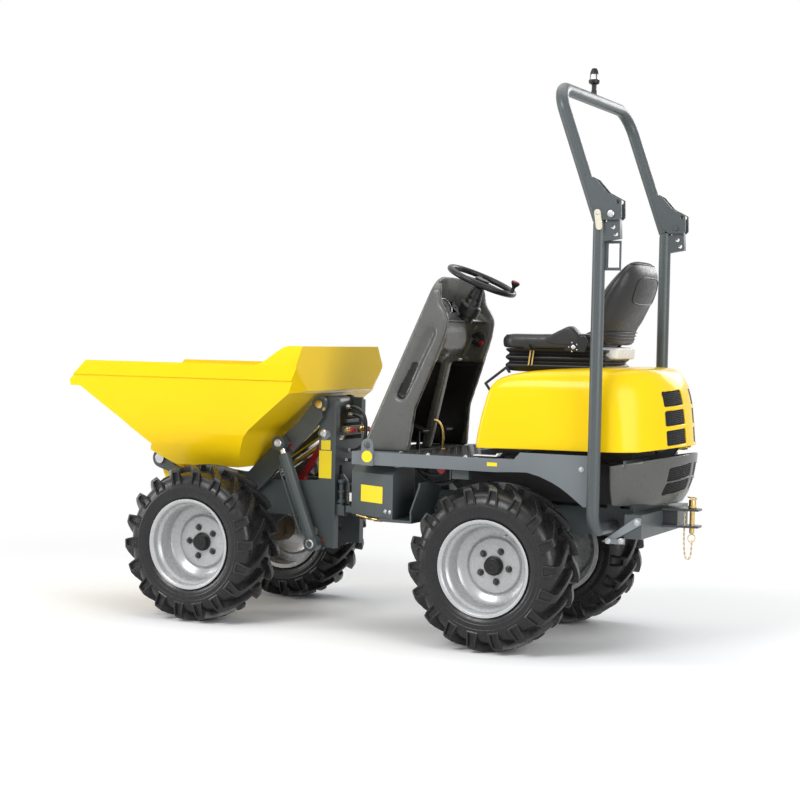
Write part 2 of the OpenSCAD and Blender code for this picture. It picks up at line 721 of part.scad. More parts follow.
// articulation and steering cylinder
module knuckle() {
    h = fork_gap - 2 * gap + 2;
    color(grey) difference() {
        union() {
            box(hinge_x - 50, hinge_x + 62, -75, 75, hinge_z - h / 2, hinge_z + h / 2);
            translate([hinge_x, 0, hinge_z - fork_gap / 2 - fork_t - 14])
                cylinder(r = pin_r, h = fork_gap + 2 * fork_t + 28);
            translate([hinge_x, 0, hinge_z + fork_gap / 2 + fork_t + gap]) cylinder(r = 34, h = 16, $fn = 6);
            translate([0, 0, hinge_z - h / 2]) linear_extrude(30) polygon([[hinge_x - 30, 70],
                [hinge_x + 30, 70], [hinge_x + 22, steer_arm + 20], [hinge_x - 22, steer_arm + 20]]);
        }
        rotate([0, 90, 0]) translate([-hinge_z, 0, hinge_x + 32]) cylinder(r = sway_r + fit, h = 100);
    }
}
steer_foot = [430, steer_y];
module steer_barrel() {
    z = hinge_z - 10;
    color(grey) difference() {
        union() {
            translate([steer_foot[0] + 20, steer_y, z + 20]) rotate([0, 90, 0]) cylinder(r = 24, h = 250);
            box(steer_foot[0] - 30, steer_foot[0] + 30, steer_y - 20, frame_y, z, z + 40);
        }
        translate([steer_foot[0] + 40, steer_y, z + 20]) rotate([0, 90, 0]) cylinder(r = 18, h = 215);
        translate([steer_foot[0] + 40, steer_y, z + 20]) rotate([0, 90, 0]) cylinder(r = 12 + fit, h = 300);
    }
}
module steer_rod() {
    z = hinge_z + 10;
    color(chrome) {
        translate([steer_foot[0] + 150, steer_y, z]) rotate([0, 90, 0]) cylinder(r = 12, h = 252);
        translate([hinge_x, steer_y + 10, z - 20]) cylinder(r = 22, h = 40);
    }
}

// front unit
module mast_side() {
    a = arm_pivot;
    low = axle_z - 24;
    difference() {
        union() {
            polygon([[mast_back, low], [1036, low], [1036, a[1] - 60], [a[0] + 30, a[1]], [a[0], a[1] + 30],
                [mast_back, a[1] + 30]]);
            translate(a) circle(34);
            translate(lift_foot) circle(36);
            polygon([[1030, 420], [1124, 483], [1300, 483], [front_x - 80, axle_z + 50],
                [front_x + 80, axle_z + 50], [front_x + 80, 500], [front_x - 20, 590], [1343, 640],
                [1060, 655], [1030, 655]]);
        }
        translate(a) circle(22 + fit);
        translate(tip_pin_at) circle(18 + fit);
    }
}
module front_frame() {
    color(grey) {
        both() {
            along_y(mast_y, mast_t) mast_side();
            box(mast_back, mast_back + 10, mast_out, mast_out + 20, axle_z - 24, arm_pivot[1] + 20);
            rod_y(lift_foot, 16, mast_out, lift_y + lift_barrel_r + 6);
        }
        box(mast_back, mast_back + 20, -78, 78, rail_low, 730);
        box(mast_back, mast_back + 20, -mast_y, mast_y, 730, 850);
        box(1180, 1200, -mast_y, mast_y, 490, 600);
        box(front_x + 55, front_x + 70, -mast_y, mast_y, axle_z + 50, axle_z + 96);
        translate([hinge_x + 40, 0, hinge_z]) rotate([0, 90, 0])
            cylinder(r = sway_r, h = mast_back - hinge_x - 40);
    }
}
function arm_side() = let (a = arm_pivot, p = skip_pivot) [a + [-20, -60], a + [22, -113], a + [112, -203],
    a + [276, -376], a + [356, -446], a + [446, -471], a + [576, -466], p + [-160, -130], p + [-40, -60],
    p + [10, -46], p + [44, 0], p + [15, 44], p + [-30, 38], p + [-80, -30], p + [-175, -55],
    a + [576, -364], a + [446, -361], a + [376, -332], a + [316, -270], a + [198, -161], a + [114, -88],
    a + [31, 7], a + [0, 36]];
module lift_arm() {
    color(grey) {
        both() difference() {
            union() {
                along_y(arm_y, arm_plate) polygon(arm_side());
                rod_y(arm_pivot, 40, arm_y, arm_y + arm_plate);
                rod_y(skip_pivot, 46, arm_y, arm_y + arm_plate);
            }
            rod_y(skip_pivot, 25 + fit, 0, 300);
        }
        rod_y(arm_pivot, 38, gap - mast_y, mast_y - gap);
        rod_y(arm_pivot, 22, -arm_y - arm_plate - 8, arm_y + arm_plate + 8);
    }
}
lift_length = norm(lift_eye - lift_foot);
module lift_barrels() {
    color(grey) both() aim(lift_foot, lift_eye, lift_y) difference() {
        union() {
            rotate([90, 0, 0]) cylinder(r = 36, h = 2 * lift_barrel_r - 8, center = true);
            translate([0, 0, 20]) cylinder(r = lift_barrel_r, h = lift_length - 75);
        }
        rotate([90, 0, 0]) cylinder(r = 16 + fit, h = 200, center = true);
        translate([0, 0, 45]) cylinder(r = lift_barrel_r - 6, h = lift_length - 120);
        translate([0, 0, 45]) cylinder(r = 16 + fit, h = lift_length);
    }
}
module lift_rods() {
    color(chrome) both() aim(lift_foot, lift_eye, lift_y) {
        translate([0, 0, 110]) cylinder(r = 16, h = lift_length - 130);
        translate([0, 0, lift_length]) rotate([90, 0, 0])
            cylinder(r = 34, h = 2 * lift_barrel_r - 8, center = true);
    }
}
module skip_shaft() {
    color(silver) rod_y(skip_pivot, 25, -arm_y - arm_plate - 12, arm_y + arm_plate + 12);
}

// skip, its rear placed from the mast and its front from its pivot
skip_rear = arm_pivot[0] - 32;
function skip_walls() = let (a = arm_pivot[0], p = skip_pivot[0]) [[skip_rear, 2000], [skip_rear + 3, 1082],
    [a + 19, 1068], [a + 240, 895], [a + 274, 859], [a + 353, floor_z], [p - 175, floor_z],
    [p - 67, floor_z + 67], [p - 83, 806], [p - 23, 853], [p + 74, 928], [lip_x - 60, 1075],
    [lip_x + 340, 1369], [lip_x + 340, 2000]];
function skip_side() = let (a = arm_pivot[0]) concat([for (i = [1 : 11]) skip_walls()[i]], [[lip_x - 4, 1075],
    [lip_x, 1104], [lip_x - 100, rim_z]], rise([a + 191, rim_z], [a + 36, rear_panel_z], 10),
    [[skip_rear, rear_panel_z]]);
function skip_edge() = let (h = skip_half) [[290, floor_z], [335, 760], [369, 815], [h - 44, 880],
    [h - 26, 960], [h - 15, 1050], [h - 10, rim_z - 73], [h, rim_z - 69], [h, rim_z],
    [h - 55, rear_panel_z], [h - 111, rear_panel_z + 92]];
function skip_front() = let (e = skip_edge(), n = len(e))
    concat(e, [for (i = [n - 1 : -1 : 0]) [-e[i][0], e[i][1]]]);
// lower rear corner cut off by a slanting plane, moved inward by t
module skip_corner(t) {
    p = [skip_rear, skip_half, rim_z - 10];
    fall = 1082 - p[2];
    n = unit(cross([48, 0, fall], [0, -135, fall]));
    translate(p - n * t) rotate([0, -asin(n[2]), atan2(n[1], n[0])]) translate([0, -800, -800])
        cube([400, 1600, 1600]);
}
module skip() {
    color(yellow) difference() {
        intersection() {
            centred_y(1200) polygon(skip_side());
            along_x(900, 1700) polygon(skip_front());
        }
        both() skip_corner(0);
        difference() {
            intersection() {
                centred_y(1200) polygon(inset(skip_walls(), skip_wall));
                along_x(900, 1900) polygon(inset(skip_front(), skip_wall));
            }
            both() skip_corner(skip_wall);
        }
    }
}
module lug_side() {
    p = skip_pivot;
    s = tip_eye_at;
    d = unit(s - p);
    n = left(d);
    translate(p) circle(45);
    translate(s) circle(42);
    polygon([p - n * 38, s - n * 38, s + n * 38, p + n * 38]);
    polygon([p + [-45, -20], p + [45, 0], p + [80, 240], p + [-90, 200]]);
}
module skip_lugs() {
    color(yellow) both() difference() {
        union() {
            along_y(lever_in, lever_t) lug_side();
            along_y(lever_out, lug_t) lug_side();
        }
        centred_y(1200) polygon(concat([for (i = [6 : 11]) skip_walls()[i]], [[lip_x, 1500], [900, 1500],
            [900, skip_walls()[6][1]]]));
        rod_y(skip_pivot, 25 + fit, -400, 400);
    }
}
tip_length = norm(tip_eye_at - tip_pin_at);
tip_rod_r = 15;
tip_body = 0.55 * tip_length;
module tip_pin() {
    color(silver) rod_y(tip_pin_at, 18, -mast_out - 5, mast_out + 5);
}
module tip_rod() {
    color(chrome) both() difference() {
        aim(tip_pin_at, tip_eye_at, tip_ram_y) {
            rotate([90, 0, 0]) cylinder(r = 34, h = 2 * eye_half, center = true);
            translate([0, 0, 20]) cylinder(r = tip_rod_r, h = tip_length - tip_body + 60);
        }
        rod_y(tip_pin_at, 18 + fit, 0, 200);
    }
}
module tip_barrel() {
    color(grey) both() aim(tip_pin_at, tip_eye_at, tip_ram_y) difference() {
        union() {
            translate([0, 0, tip_length - tip_body]) cylinder(r = tip_barrel_r, h = tip_body - 20);
            translate([0, 0, tip_length]) rotate([90, 0, 0])
                cylinder(r = 34, h = 2 * eye_half, center = true);
        }
        translate([0, 0, tip_length - tip_body - 10]) cylinder(r = tip_rod_r + fit, h = 60);
        translate([0, 0, tip_length - tip_body + 30]) cylinder(r = tip_barrel_r - 6, h = tip_body - 80);
    }
}

module placed() {
    translate([-mid_x, 0, 0]) children();
}
placed() rear_frame();
placed() deck();
placed() side_boxes();
placed() steps();
placed() console();
placed() steering_column();
placed() steering_wheel();
placed() spinner_knob();
placed() pedals();
placed() engine_block();
placed() rear_axle();
placed() rear_cover();
placed() rear_grilles();
placed() roll_posts();
placed() roll_hoop();
placed() beacon();
placed() hood();
placed() hood_louvers();
placed() hood_handle();
placed() seat_base();
placed() seat_cushion();
placed() seat_back();
placed() tow_hitch();
placed() hitch_pin();
placed() tyre(0, 1);  // tyre_rear_left
placed() tyre(0, -1);  // tyre_rear_right
placed() tyre(front_x, 1);  // tyre_front_left
placed() tyre(front_x, -1);  // tyre_front_right
placed() rim(0, 1);  // rim_rear_left
placed() rim(0, -1);  // rim_rear_right
placed() rim(front_x, 1);  // rim_front_left
placed() rim(front_x, -1);  // rim_front_right
placed() knuckle();
placed() steer_barrel();
placed() steer_rod();
placed() front_frame();
placed() front_axle();
placed() lift_arm();
placed() lift_barrels();
placed() lift_rods();
placed() skip_shaft();
placed() skip();
placed() skip_lugs();
placed() tip_pin();
placed() tip_rod();
placed() tip_barrel();
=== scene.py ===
import json
import math

import bmesh
import bpy
import numpy as np
from mathutils import Matrix, Vector


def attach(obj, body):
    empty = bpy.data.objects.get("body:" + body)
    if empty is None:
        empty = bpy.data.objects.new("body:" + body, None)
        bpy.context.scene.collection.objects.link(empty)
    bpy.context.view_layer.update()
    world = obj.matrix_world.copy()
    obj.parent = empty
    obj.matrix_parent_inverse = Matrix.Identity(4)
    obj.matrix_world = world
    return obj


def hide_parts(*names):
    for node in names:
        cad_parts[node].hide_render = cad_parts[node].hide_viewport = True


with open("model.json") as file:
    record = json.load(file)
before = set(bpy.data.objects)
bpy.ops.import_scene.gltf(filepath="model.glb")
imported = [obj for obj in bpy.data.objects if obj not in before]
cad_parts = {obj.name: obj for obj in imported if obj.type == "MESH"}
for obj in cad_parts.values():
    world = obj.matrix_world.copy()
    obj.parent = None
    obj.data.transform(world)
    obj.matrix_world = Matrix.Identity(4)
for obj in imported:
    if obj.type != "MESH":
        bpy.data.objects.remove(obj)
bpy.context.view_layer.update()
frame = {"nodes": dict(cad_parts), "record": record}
nodes = frame["nodes"]
scene = bpy.context.scene

# The part's own coordinates count x from the rear axle and z from the ground, in millimetres.
MID_X = 742.0


def at(x, y, z):
    return Vector(((x - MID_X) / 1000, y / 1000, z / 1000))


# Materials: paint, plastic, rubber and metal, each with its own drift, gloss and grain.


def new_material(name):
    m = bpy.data.materials.new(name)
    m.use_nodes = True
    t = m.node_tree
    t.nodes.clear()
    out = t.nodes.new("ShaderNodeOutputMaterial")
    bsdf = t.nodes.new("ShaderNodeBsdfPrincipled")
    t.links.new(bsdf.outputs[0], out.inputs[0])
    return m, t, bsdf


def noise(t, scale, detail=4.0, rough=0.55, stretch=None):
    coord = t.nodes.new("ShaderNodeTexCoord")
    n = t.nodes.new("ShaderNodeTexNoise")
    n.inputs["Scale"].default_value = scale
    n.inputs["Detail"].default_value = detail
    n.inputs["Roughness"].default_value = rough
    if stretch:
        mp = t.nodes.new("ShaderNodeMapping")
        mp.inputs["Scale"].default_value = stretch
        t.links.new(coord.outputs["Object"], mp.inputs["Vector"])
        t.links.new(mp.outputs[0], n.inputs["Vector"])
    else:
        t.links.new(coord.outputs["Object"], n.inputs["Vector"])
    return n


def ramp(t, source, stops):
    r = t.nodes.new("ShaderNodeValToRGB")
    el = r.color_ramp.elements
    el[0].position, el[0].color = stops[0][0], (*stops[0][1], 1)
    el[1].position, el[1].color = stops[-1][0], (*stops[-1][1], 1)
    for p, c in stops[1:-1]:
        e = el.new(p)
        e.color = (*c, 1)
    t.links.new(source, r.inputs[0])
    return r


def spread(t, source, low, high, a=0.35, b=0.65):
    m = t.nodes.new("ShaderNodeMapRange")
    m.inputs["From Min"].default_value = a
    m.inputs["From Max"].default_value = b
    m.inputs["To Min"].default_value = low
    m.inputs["To Max"].default_value = high
    t.links.new(source, m.inputs["Value"])
    return m


def shade(c, k):
    return tuple(min(1.0, v * k) for v in c)


def bumpy(t, bsdf, height, strength, distance=0.001):
    b = t.nodes.new("ShaderNodeBump")
    b.inputs["Strength"].default_value = strength
    b.inputs["Distance"].default_value = distance
    t.links.new(height, b.inputs["Height"])
    t.links.new(b.outputs[0], bsdf.inputs["Normal"])


MAT = {}


def plain(name, colour, rough=0.45, metal=0.0, vary=0.07, scale=6.0, grain=0.0, grain_scale=900.0,
          coat=0.0, rough_vary=0.08, specular=0.5, dirt=None):
    """A paint, plastic or metal with slow colour drift, uneven gloss and a fine surface grain."""
    m, t, bsdf = new_material(name)
    slow = noise(t, scale)
    stops = [(0.3, shade(colour, 1 - vary)), (0.7, shade(colour, 1 + vary))]
    col = ramp(t, slow.outputs["Fac"], stops)
    source = col.outputs["Color"]
    if dirt:
        spots = noise(t, 23.0, 8.0, 0.7)
        mask = spread(t, spots.outputs["Fac"], 0.0, dirt[1], 0.52, 0.78)
        mix = t.nodes.new("ShaderNodeMix")
        mix.data_type = "RGBA"
        t.links.new(mask.outputs[0], mix.inputs[0])
        t.links.new(source, mix.inputs[6])
        mix.inputs[7].default_value = (*dirt[0], 1)
        source = mix.outputs[2]
    t.links.new(source, bsdf.inputs["Base Color"])
    gloss = noise(t, scale * 7.0, 6.0)
    r = spread(t, gloss.outputs["Fac"], rough - rough_vary, rough + rough_vary)
    t.links.new(r.outputs[0], bsdf.inputs["Roughness"])
    bsdf.inputs["Metallic"].default_value = metal
    bsdf.inputs["Specular IOR Level"].default_value = specular
    bsdf.inputs["Coat Weight"].default_value = coat
    bsdf.inputs["Coat Roughness"].default_value = 0.08
    if grain > 0:
        fine = noise(t, grain_scale, 3.0)
        bumpy(t, bsdf, fine.outputs["Fac"], grain, 0.0006)
    MAT[name] = m


PAINTED = dict(vary=0.06, scale=3.0, grain=0.04, grain_scale=90.0, coat=0.06, rough_vary=0.03, specular=0.35)
plain("yellow_paint", (0.90, 0.60, 0.006), 0.20, vary=0.025, scale=2.2, grain=0.01, grain_scale=70.0,
      coat=0.07, rough_vary=0.03, specular=0.16)
plain("grey_paint", (0.070, 0.082, 0.085), 0.36, **PAINTED)
plain("light_grey_paint", (0.22, 0.245, 0.26), 0.30, **PAINTED)
plain("dark_plastic", (0.088, 0.09, 0.084), 0.30, vary=0.06, scale=4.0, grain=0.02, grain_scale=1400.0,
      coat=0.08, rough_vary=0.04, specular=0.4)
plain("black_plastic", (0.014, 0.014, 0.015), 0.34, vary=0.15, grain=0.1, grain_scale=1300.0,
      rough_vary=0.05, specular=0.3)
plain("mesh_black", (0.022, 0.022, 0.022), 0.5, vary=0.15, grain=0.3, grain_scale=900.0, specular=0.25)
plain("tyre_rubber", (0.0115, 0.0115, 0.0125), 0.30, vary=0.25, scale=7.0, grain=0.12, grain_scale=800.0,
      rough_vary=0.06, specular=0.38, dirt=((0.03, 0.03, 0.032), 0.25))
plain("rim_silver", (0.44, 0.445, 0.45), 0.27, metal=0.25, vary=0.03, scale=4.0, grain=0.02,
      grain_scale=600.0, coat=0.25, rough_vary=0.02)
plain("chrome_rod", (0.80, 0.77, 0.72), 0.12, metal=1.0, vary=0.05, rough_vary=0.05)
plain("steel_pin", (0.55, 0.55, 0.55), 0.28, metal=1.0, vary=0.1, scale=30.0)
plain("brass_pin", (0.60, 0.43, 0.17), 0.30, metal=1.0, vary=0.14, scale=30.0)
plain("axle_bronze", (0.10, 0.075, 0.045), 0.45, vary=0.2, scale=9.0, grain=0.2, grain_scale=300.0)
plain("seat_vinyl", (0.021, 0.020, 0.020), 0.36, vary=0.12, scale=8.0, grain=0.3, grain_scale=1500.0,
      specular=0.35)
plain("lamp_clear", (0.75, 0.75, 0.76), 0.2, vary=0.05, coat=0.4)
plain("engine_grey", (0.03, 0.03, 0.03), 0.6, vary=0.2, grain=0.4, grain_scale=200.0)
plain("label_yellow", (0.88, 0.68, 0.01), 0.38, vary=0.03)
plain("red_paint", (0.42, 0.012, 0.015), 0.35, vary=0.1, scale=12.0)
plain("white_plate", (0.76, 0.77, 0.78), 0.33, vary=0.03)
plain("nut_dark", (0.09, 0.085, 0.08), 0.32, metal=1.0, vary=0.15, scale=40.0)
plain("tag_gold", (0.62, 0.42, 0.14), 0.45, vary=0.1, scale=20.0)
plain("beam_paint", (0.15, 0.168, 0.177), 0.33, **PAINTED)
plain("bone_paint", (0.62, 0.58, 0.46), 0.4, vary=0.05, scale=20.0)
plain("chain_gold", (0.66, 0.52, 0.28), 0.3, metal=1.0, vary=0.1, scale=40.0)
plain("dark_paint", (0.034, 0.037, 0.039), 0.36, vary=0.1, scale=4.0, coat=0.2, rough_vary=0.04)
plain("hose_rubber", (0.012, 0.012, 0.013), 0.42, vary=0.2, grain=0.3, grain_scale=700.0)


# Shapes. Every shape is drawn in part millimetres into a bmesh, and piece() makes an object of it.


LEFT = (0, 1, 0)
UP = (0, 0, 1)
REAR = (-1, 0, 0)


def frame_of(axis):
    """Two directions square to an axis."""
    a = Vector(axis).normalized()
    u = a.cross(Vector((0, 0, 1)) if abs(a.z) < 0.9 else Vector((1, 0, 0))).normalized()
    return a, u, a.cross(u)


def ring(bm, centre, u, v, r, seg, turn=0.0):
    c = Vector(centre)
    return [bm.verts.new(c + u * (r * math.cos(turn + 2 * math.pi * i / seg))
                         + v * (r * math.sin(turn + 2 * math.pi * i / seg))) for i in range(seg)]


def skin(bm, loops, closed=True):
    """Joins loops of equal length with quads."""
    for a, b in zip(loops, loops[1:]):
        n = len(a)
        for i in range(n if closed else n - 1):
            bm.faces.new((a[i], a[(i + 1) % n], b[(i + 1) % n], b[i]))


def lathe(bm, centre, axis, profile, seg=32, turn=0.0):
    """Turns (radius, height) points about an axis, with its ends closed."""
    a, u, v = frame_of(axis)
    c = Vector(centre)
    loops = [ring(bm, c + a * h, u, v, max(r, 0.01), seg, turn) for r, h in profile]
    skin(bm, loops)
    bm.faces.new(loops[0])
    bm.faces.new(loops[-1])


def smooth_path(points, steps=6):
    """Catmull-Rom curve through the points."""
    p = [Vector(q) for q in points]
    p = [p[0] * 2 - p[1]] + p + [p[-1] * 2 - p[-2]]
    out = []
    for i in range(1, len(p) - 2):
        for k in range(steps):
            t = k / steps
            a, b, c, d = p[i - 1:i + 3]
            out.append(0.5 * (2 * b + (c - a) * t + (2 * a - 5 * b + 4 * c - d) * t * t
                              + (3 * b - a - 3 * c + d) * t ** 3))
    return out + [p[-2]]


def sweep(bm, path, r, seg=10, closed=False):
    """A round bar along a path; r may be a list."""
    p = [Vector(q) for q in path]
    n = len(p)
    rs = r if isinstance(r, (list, tuple)) else [r] * n
    side = None
    loops = []
    for i in range(n):
        if closed:
            d = (p[(i + 1) % n] - p[i - 1]).normalized()
        else:
            d = (p[min(i + 1, n - 1)] - p[max(i - 1, 0)]).normalized()
        if side is None:
            side = frame_of(d)[1]
        side = (side - d * side.dot(d)).normalized()
        loops.append(ring(bm, p[i], side, d.cross(side), rs[i], seg))
    if closed:
        loops.append(loops[0])
    skin(bm, loops)
    if not closed:
        bm.faces.new(loops[0])
        bm.faces.new(loops[-1])


def loop_path(centre, a, b, count):
    """Points of a circle or an ellipse with the half axes a and b."""
    turns = [2 * math.pi * k / count for k in range(count)]
    return [Vector(centre) + Vector(a) * math.cos(t) + Vector(b) * math.sin(t) for t in turns]


def prism(bm, outline, axis, low, high):
    """An outline drawn in the other two coordinates, extruded along x, y or z."""
    k = "xyz".index(axis)

    def spot(p, h):
        q = list(p)
        q.insert(k, h)
        return bm.verts.new(q)
    a = [spot(p, low) for p in outline]
    b = [spot(p, high) for p in outline]
    skin(bm, [a, b])
    bm.faces.new(a)
    bm.faces.new(b)


def brick(bm, x0, x1, y0, y1, z0, z1):
    prism(bm, [(x0, y0), (x1, y0), (x1, y1), (x0, y1)], "z", z0, z1)


def bolt(bm, centre, axis, r=9.0, h=8.0):
    """A washer, a hexagon head and the end of its thread."""
    lathe(bm, centre, axis, [(r * 1.45, -0.5), (r * 1.45, 1.8), (r * 0.9, 1.9)], 20)
    lathe(bm, centre, axis, [(r * 1.0, 1.5), (r * 1.08, 2.2), (r * 1.08, h - 1.0), (r * 0.9, h)], 6)
    lathe(bm, centre, axis, [(r * 0.5, h - 0.5), (r * 0.5, h + 2.4), (r * 0.38, h + 3.2)], 14)


def drawn(draw):
    """Draws a piece by itself."""
    bm = bmesh.new()
    draw(bm)
    return bm


def mirrored(draw):
    """Draws a left piece and its right twin."""
    bm = drawn(draw)
    twin = bm.copy()
    for v in twin.verts:
        v.co.y = -v.co.y
    me = bpy.data.meshes.new("twin")
    twin.to_mesh(me)
    twin.free()
    bm.from_mesh(me)
    bpy.data.meshes.remove(me)
    return bm


def soften(obj, width, angle=35, seg=2):
    """Rounded edges and normals that follow the large faces."""
    obj.data.shade_smooth()
    if width > 0:
        b = obj.modifiers.new("edge", "BEVEL")
        b.width = width / 1000
        b.segments = seg
        b.limit_method = "ANGLE"
        b.angle_limit = math.radians(angle)
        b.use_clamp_overlap = True
    n = obj.modifiers.new("normals", "WEIGHTED_NORMAL")
    n.keep_sharp = False
    n.weight = 60


def piece(name, bm, material, body, width=1.0, angle=35, seg=2, origin=None):
    bmesh.ops.recalc_face_normals(bm, faces=bm.faces)
    for v in bm.verts:
        v.co = at(*v.co) if origin is None else v.co / 1000
    me = bpy.data.meshes.new(name)
    bm.to_mesh(me)
    bm.free()
    obj = bpy.data.objects.new(name, me)
    if origin is not None:
        obj.location = at(*origin)
    scene.collection.objects.link(obj)
    me.materials.append(MAT[material])
    soften(obj, width, angle, seg)
    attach(obj, body)
    return obj


def soften_cad(name, width, angle=32, seg=2):
    """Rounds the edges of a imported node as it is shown; its own vertices stay as they are."""
    obj = nodes[name]
    me = obj.data
    if "custom_normal" in me.attributes:
        me.attributes.remove(me.attributes["custom_normal"])
    w = obj.modifiers.new("weld", "WELD")
    w.merge_threshold = 0.00002
    d = obj.modifiers.new("plane", "DECIMATE")
    d.decimate_type = "DISSOLVE"
    d.angle_limit = math.radians(0.6)
    soften(obj, width, angle, seg)


def part(name, material, body, width=1.0, both=True, angle=35, seg=2):
    """Makes a piece of the drawing below it, with its right twin or by itself."""
    def make(draw):
        bm = mirrored(draw) if both else drawn(draw)
        return piece(name, bm, material, body, width, angle, seg)
    return make


def removed(obj):
    old = obj.data
    bpy.data.objects.remove(obj)
    bpy.data.meshes.remove(old)


def rounder(obj, levels):
    sub = obj.modifiers.new("smooth", "SUBSURF")
    sub.levels = sub.render_levels = levels


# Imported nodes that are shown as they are: their materials and the rounding of their edges in millimetres.

for sub in frame["record"]["subparts"]:
    obj = nodes[sub["node"]]
    obj.data.materials.clear()
    obj.data.materials.append(MAT[sub["material_slot"]])

EDGES = {"skip": 3.0, "skip_lugs": 3.0, "rear_cover": 2.5, "deck": 1.5,
         "side_boxes": 3.0, "steps": 1.0, "rear_frame": 2.0, "front_frame": 3.0, "lift_arm": 3.0,
         "lift_barrels": 2.5, "lift_rods": 2.0, "tip_barrel": 2.0, "tip_rod": 2.0, "roll_posts": 2.0,
         "roll_hoop": 2.0, "tow_hitch": 2.0, "hitch_pin": 1.5, "knuckle": 3.0, "pedals": 2.0,
         "steering_column": 3.0, "steering_wheel": 2.0, "hood_handle": 1.0, "skip_shaft": 2.0, "tip_pin": 2.0,
         "rear_axle": 4.0, "front_axle": 4.0, "steer_barrel": 2.0, "steer_rod": 1.5, "engine_block": 4.0}
for name, width in EDGES.items():
    soften_cad(name, width)

nodes["tow_hitch"].data.materials[0] = MAT["dark_paint"]
nodes["deck"].data.materials[0] = MAT["beam_paint"]
# the eyes of the lift rods are painted: x, z and reach of an eye
EYE_X, EYE_Z, EYE_R = 1210, 828, 35.5
rods = nodes["lift_rods"].data
rods.materials.append(MAT["grey_paint"])
for f in rods.polygons:
    if math.hypot(f.center.x * 1000 + MID_X - EYE_X, f.center.z * 1000 - EYE_Z) < EYE_R:
        f.material_index = 1


# Stage: the camera that took the photograph, a white world and floor, and five lights.

CAM_AT = at(-2828.2, 7218.3, 1344.1)
YAW, PITCH, ROLL = math.radians(-64.09), math.radians(-2.136), math.radians(1.152)
SENSOR = 36.0
FOCAL_PIXELS = 1709.15
PHOTO_PIXELS = 800


def make_camera():
    ahead = Vector((math.cos(PITCH) * math.cos(YAW), math.cos(PITCH) * math.sin(YAW), math.sin(PITCH)))
    right = ahead.cross(Vector((0, 0, 1))).normalized()
    up = right.cross(ahead)
    r2 = right * math.cos(ROLL) + up * math.sin(ROLL)
    u2 = up * math.cos(ROLL) - right * math.sin(ROLL)
    m = Matrix((r2, u2, -ahead)).transposed().to_4x4()
    m.translation = CAM_AT
    data = bpy.data.cameras.new("camera")
    data.sensor_width = SENSOR
    data.lens = FOCAL_PIXELS / PHOTO_PIXELS * SENSOR
    data.clip_end = 200
    cam = bpy.data.objects.new("camera", data)
    cam.matrix_world = m
    scene.collection.objects.link(cam)
    scene.camera = cam


def area_light(name, place, aim, size, power, colour=(1, 1, 1)):
    d = bpy.data.lights.new(name, "AREA")
    d.shape = "RECTANGLE"
    d.size, d.size_y = size
    d.energy = power
    d.color = colour
    o = bpy.data.objects.new(name, d)
    o.location = place
    o.rotation_mode = "QUATERNION"
    o.rotation_quaternion = (Vector(aim) - Vector(place)).to_track_quat("-Z", "Y")
    scene.collection.objects.link(o)


def plain_rays(tree, path):
    """One for the rays that see the plain background: camera, glossy and transmission rays."""
    total = path.outputs["Is Camera Ray"]
    for kind in ("Is Glossy Ray", "Is Transmission Ray"):
        m = tree.nodes.new("ShaderNodeMath")
        m.operation = "MAXIMUM"
        tree.links.new(total, m.inputs[0])
        tree.links.new(path.outputs[kind], m.inputs[1])
        total = m.outputs[0]
    return total


def make_world():
    w = bpy.data.worlds.new("studio")
    w.use_nodes = True
    t = w.node_tree
    t.nodes.clear()
    out = t.nodes.new("ShaderNodeOutputWorld")
    lit = t.nodes.new("ShaderNodeBackground")
    lit.inputs["Color"].default_value = (0.93, 0.96, 1.0, 1)
    lit.inputs["Strength"].default_value = 0.33
    seen = t.nodes.new("ShaderNodeBackground")
    seen.inputs["Color"].default_value = (1, 1, 1, 1)
    seen.inputs["Strength"].default_value = 1.0
    path = t.nodes.new("ShaderNodeLightPath")
    mix = t.nodes.new("ShaderNodeMixShader")
    t.links.new(plain_rays(t, path), mix.inputs[0])
    t.links.new(lit.outputs[0], mix.inputs[1])
    t.links.new(seen.outputs[0], mix.inputs[2])
    t.links.new(mix.outputs[0], out.inputs[0])
    scene.world = w


def make_floor():
    me = bpy.data.meshes.new("floor")
    bm = bmesh.new()
    bmesh.ops.create_circle(bm, cap_ends=True, segments=96, radius=40.0)
    bm.to_mesh(me)
    bm.free()
    floor = bpy.data.objects.new("floor", me)
    scene.collection.objects.link(floor)
    m = bpy.data.materials.new("floor_white")
    m.use_nodes = True
    t = m.node_tree
    t.nodes.clear()
    out = t.nodes.new("ShaderNodeOutputMaterial")
    diff = t.nodes.new("ShaderNodeBsdfDiffuse")
    diff.inputs["Color"].default_value = (0.93, 0.93, 0.93, 1)
    glow = t.nodes.new("ShaderNodeEmission")
    glow.inputs["Color"].default_value = (1, 1, 1, 1)
    glow.inputs["Strength"].default_value = 1.0
    coord = t.nodes.new("ShaderNodeTexCoord")
    size = t.nodes.new("ShaderNodeVectorMath")
    size.operation = "LENGTH"
    t.links.new(coord.outputs["Object"], size.inputs[0])
    far = t.nodes.new("ShaderNodeMapRange")
    far.interpolation_type = "SMOOTHSTEP"
    far.inputs["From Min"].default_value = 1.7
    far.inputs["From Max"].default_value = 4.2
    t.links.new(size.outputs["Value"], far.inputs["Value"])
    path = t.nodes.new("ShaderNodeLightPath")
    both = t.nodes.new("ShaderNodeMath")
    both.operation = "MULTIPLY"
    t.links.new(far.outputs[0], both.inputs[0])
    t.links.new(plain_rays(t, path), both.inputs[1])
    mix = t.nodes.new("ShaderNodeMixShader")
    t.links.new(both.outputs[0], mix.inputs[0])
    t.links.new(diff.outputs[0], mix.inputs[1])
    t.links.new(glow.outputs[0], mix.inputs[2])
    t.links.new(mix.outputs[0], out.inputs[0])
    me.materials.append(m)


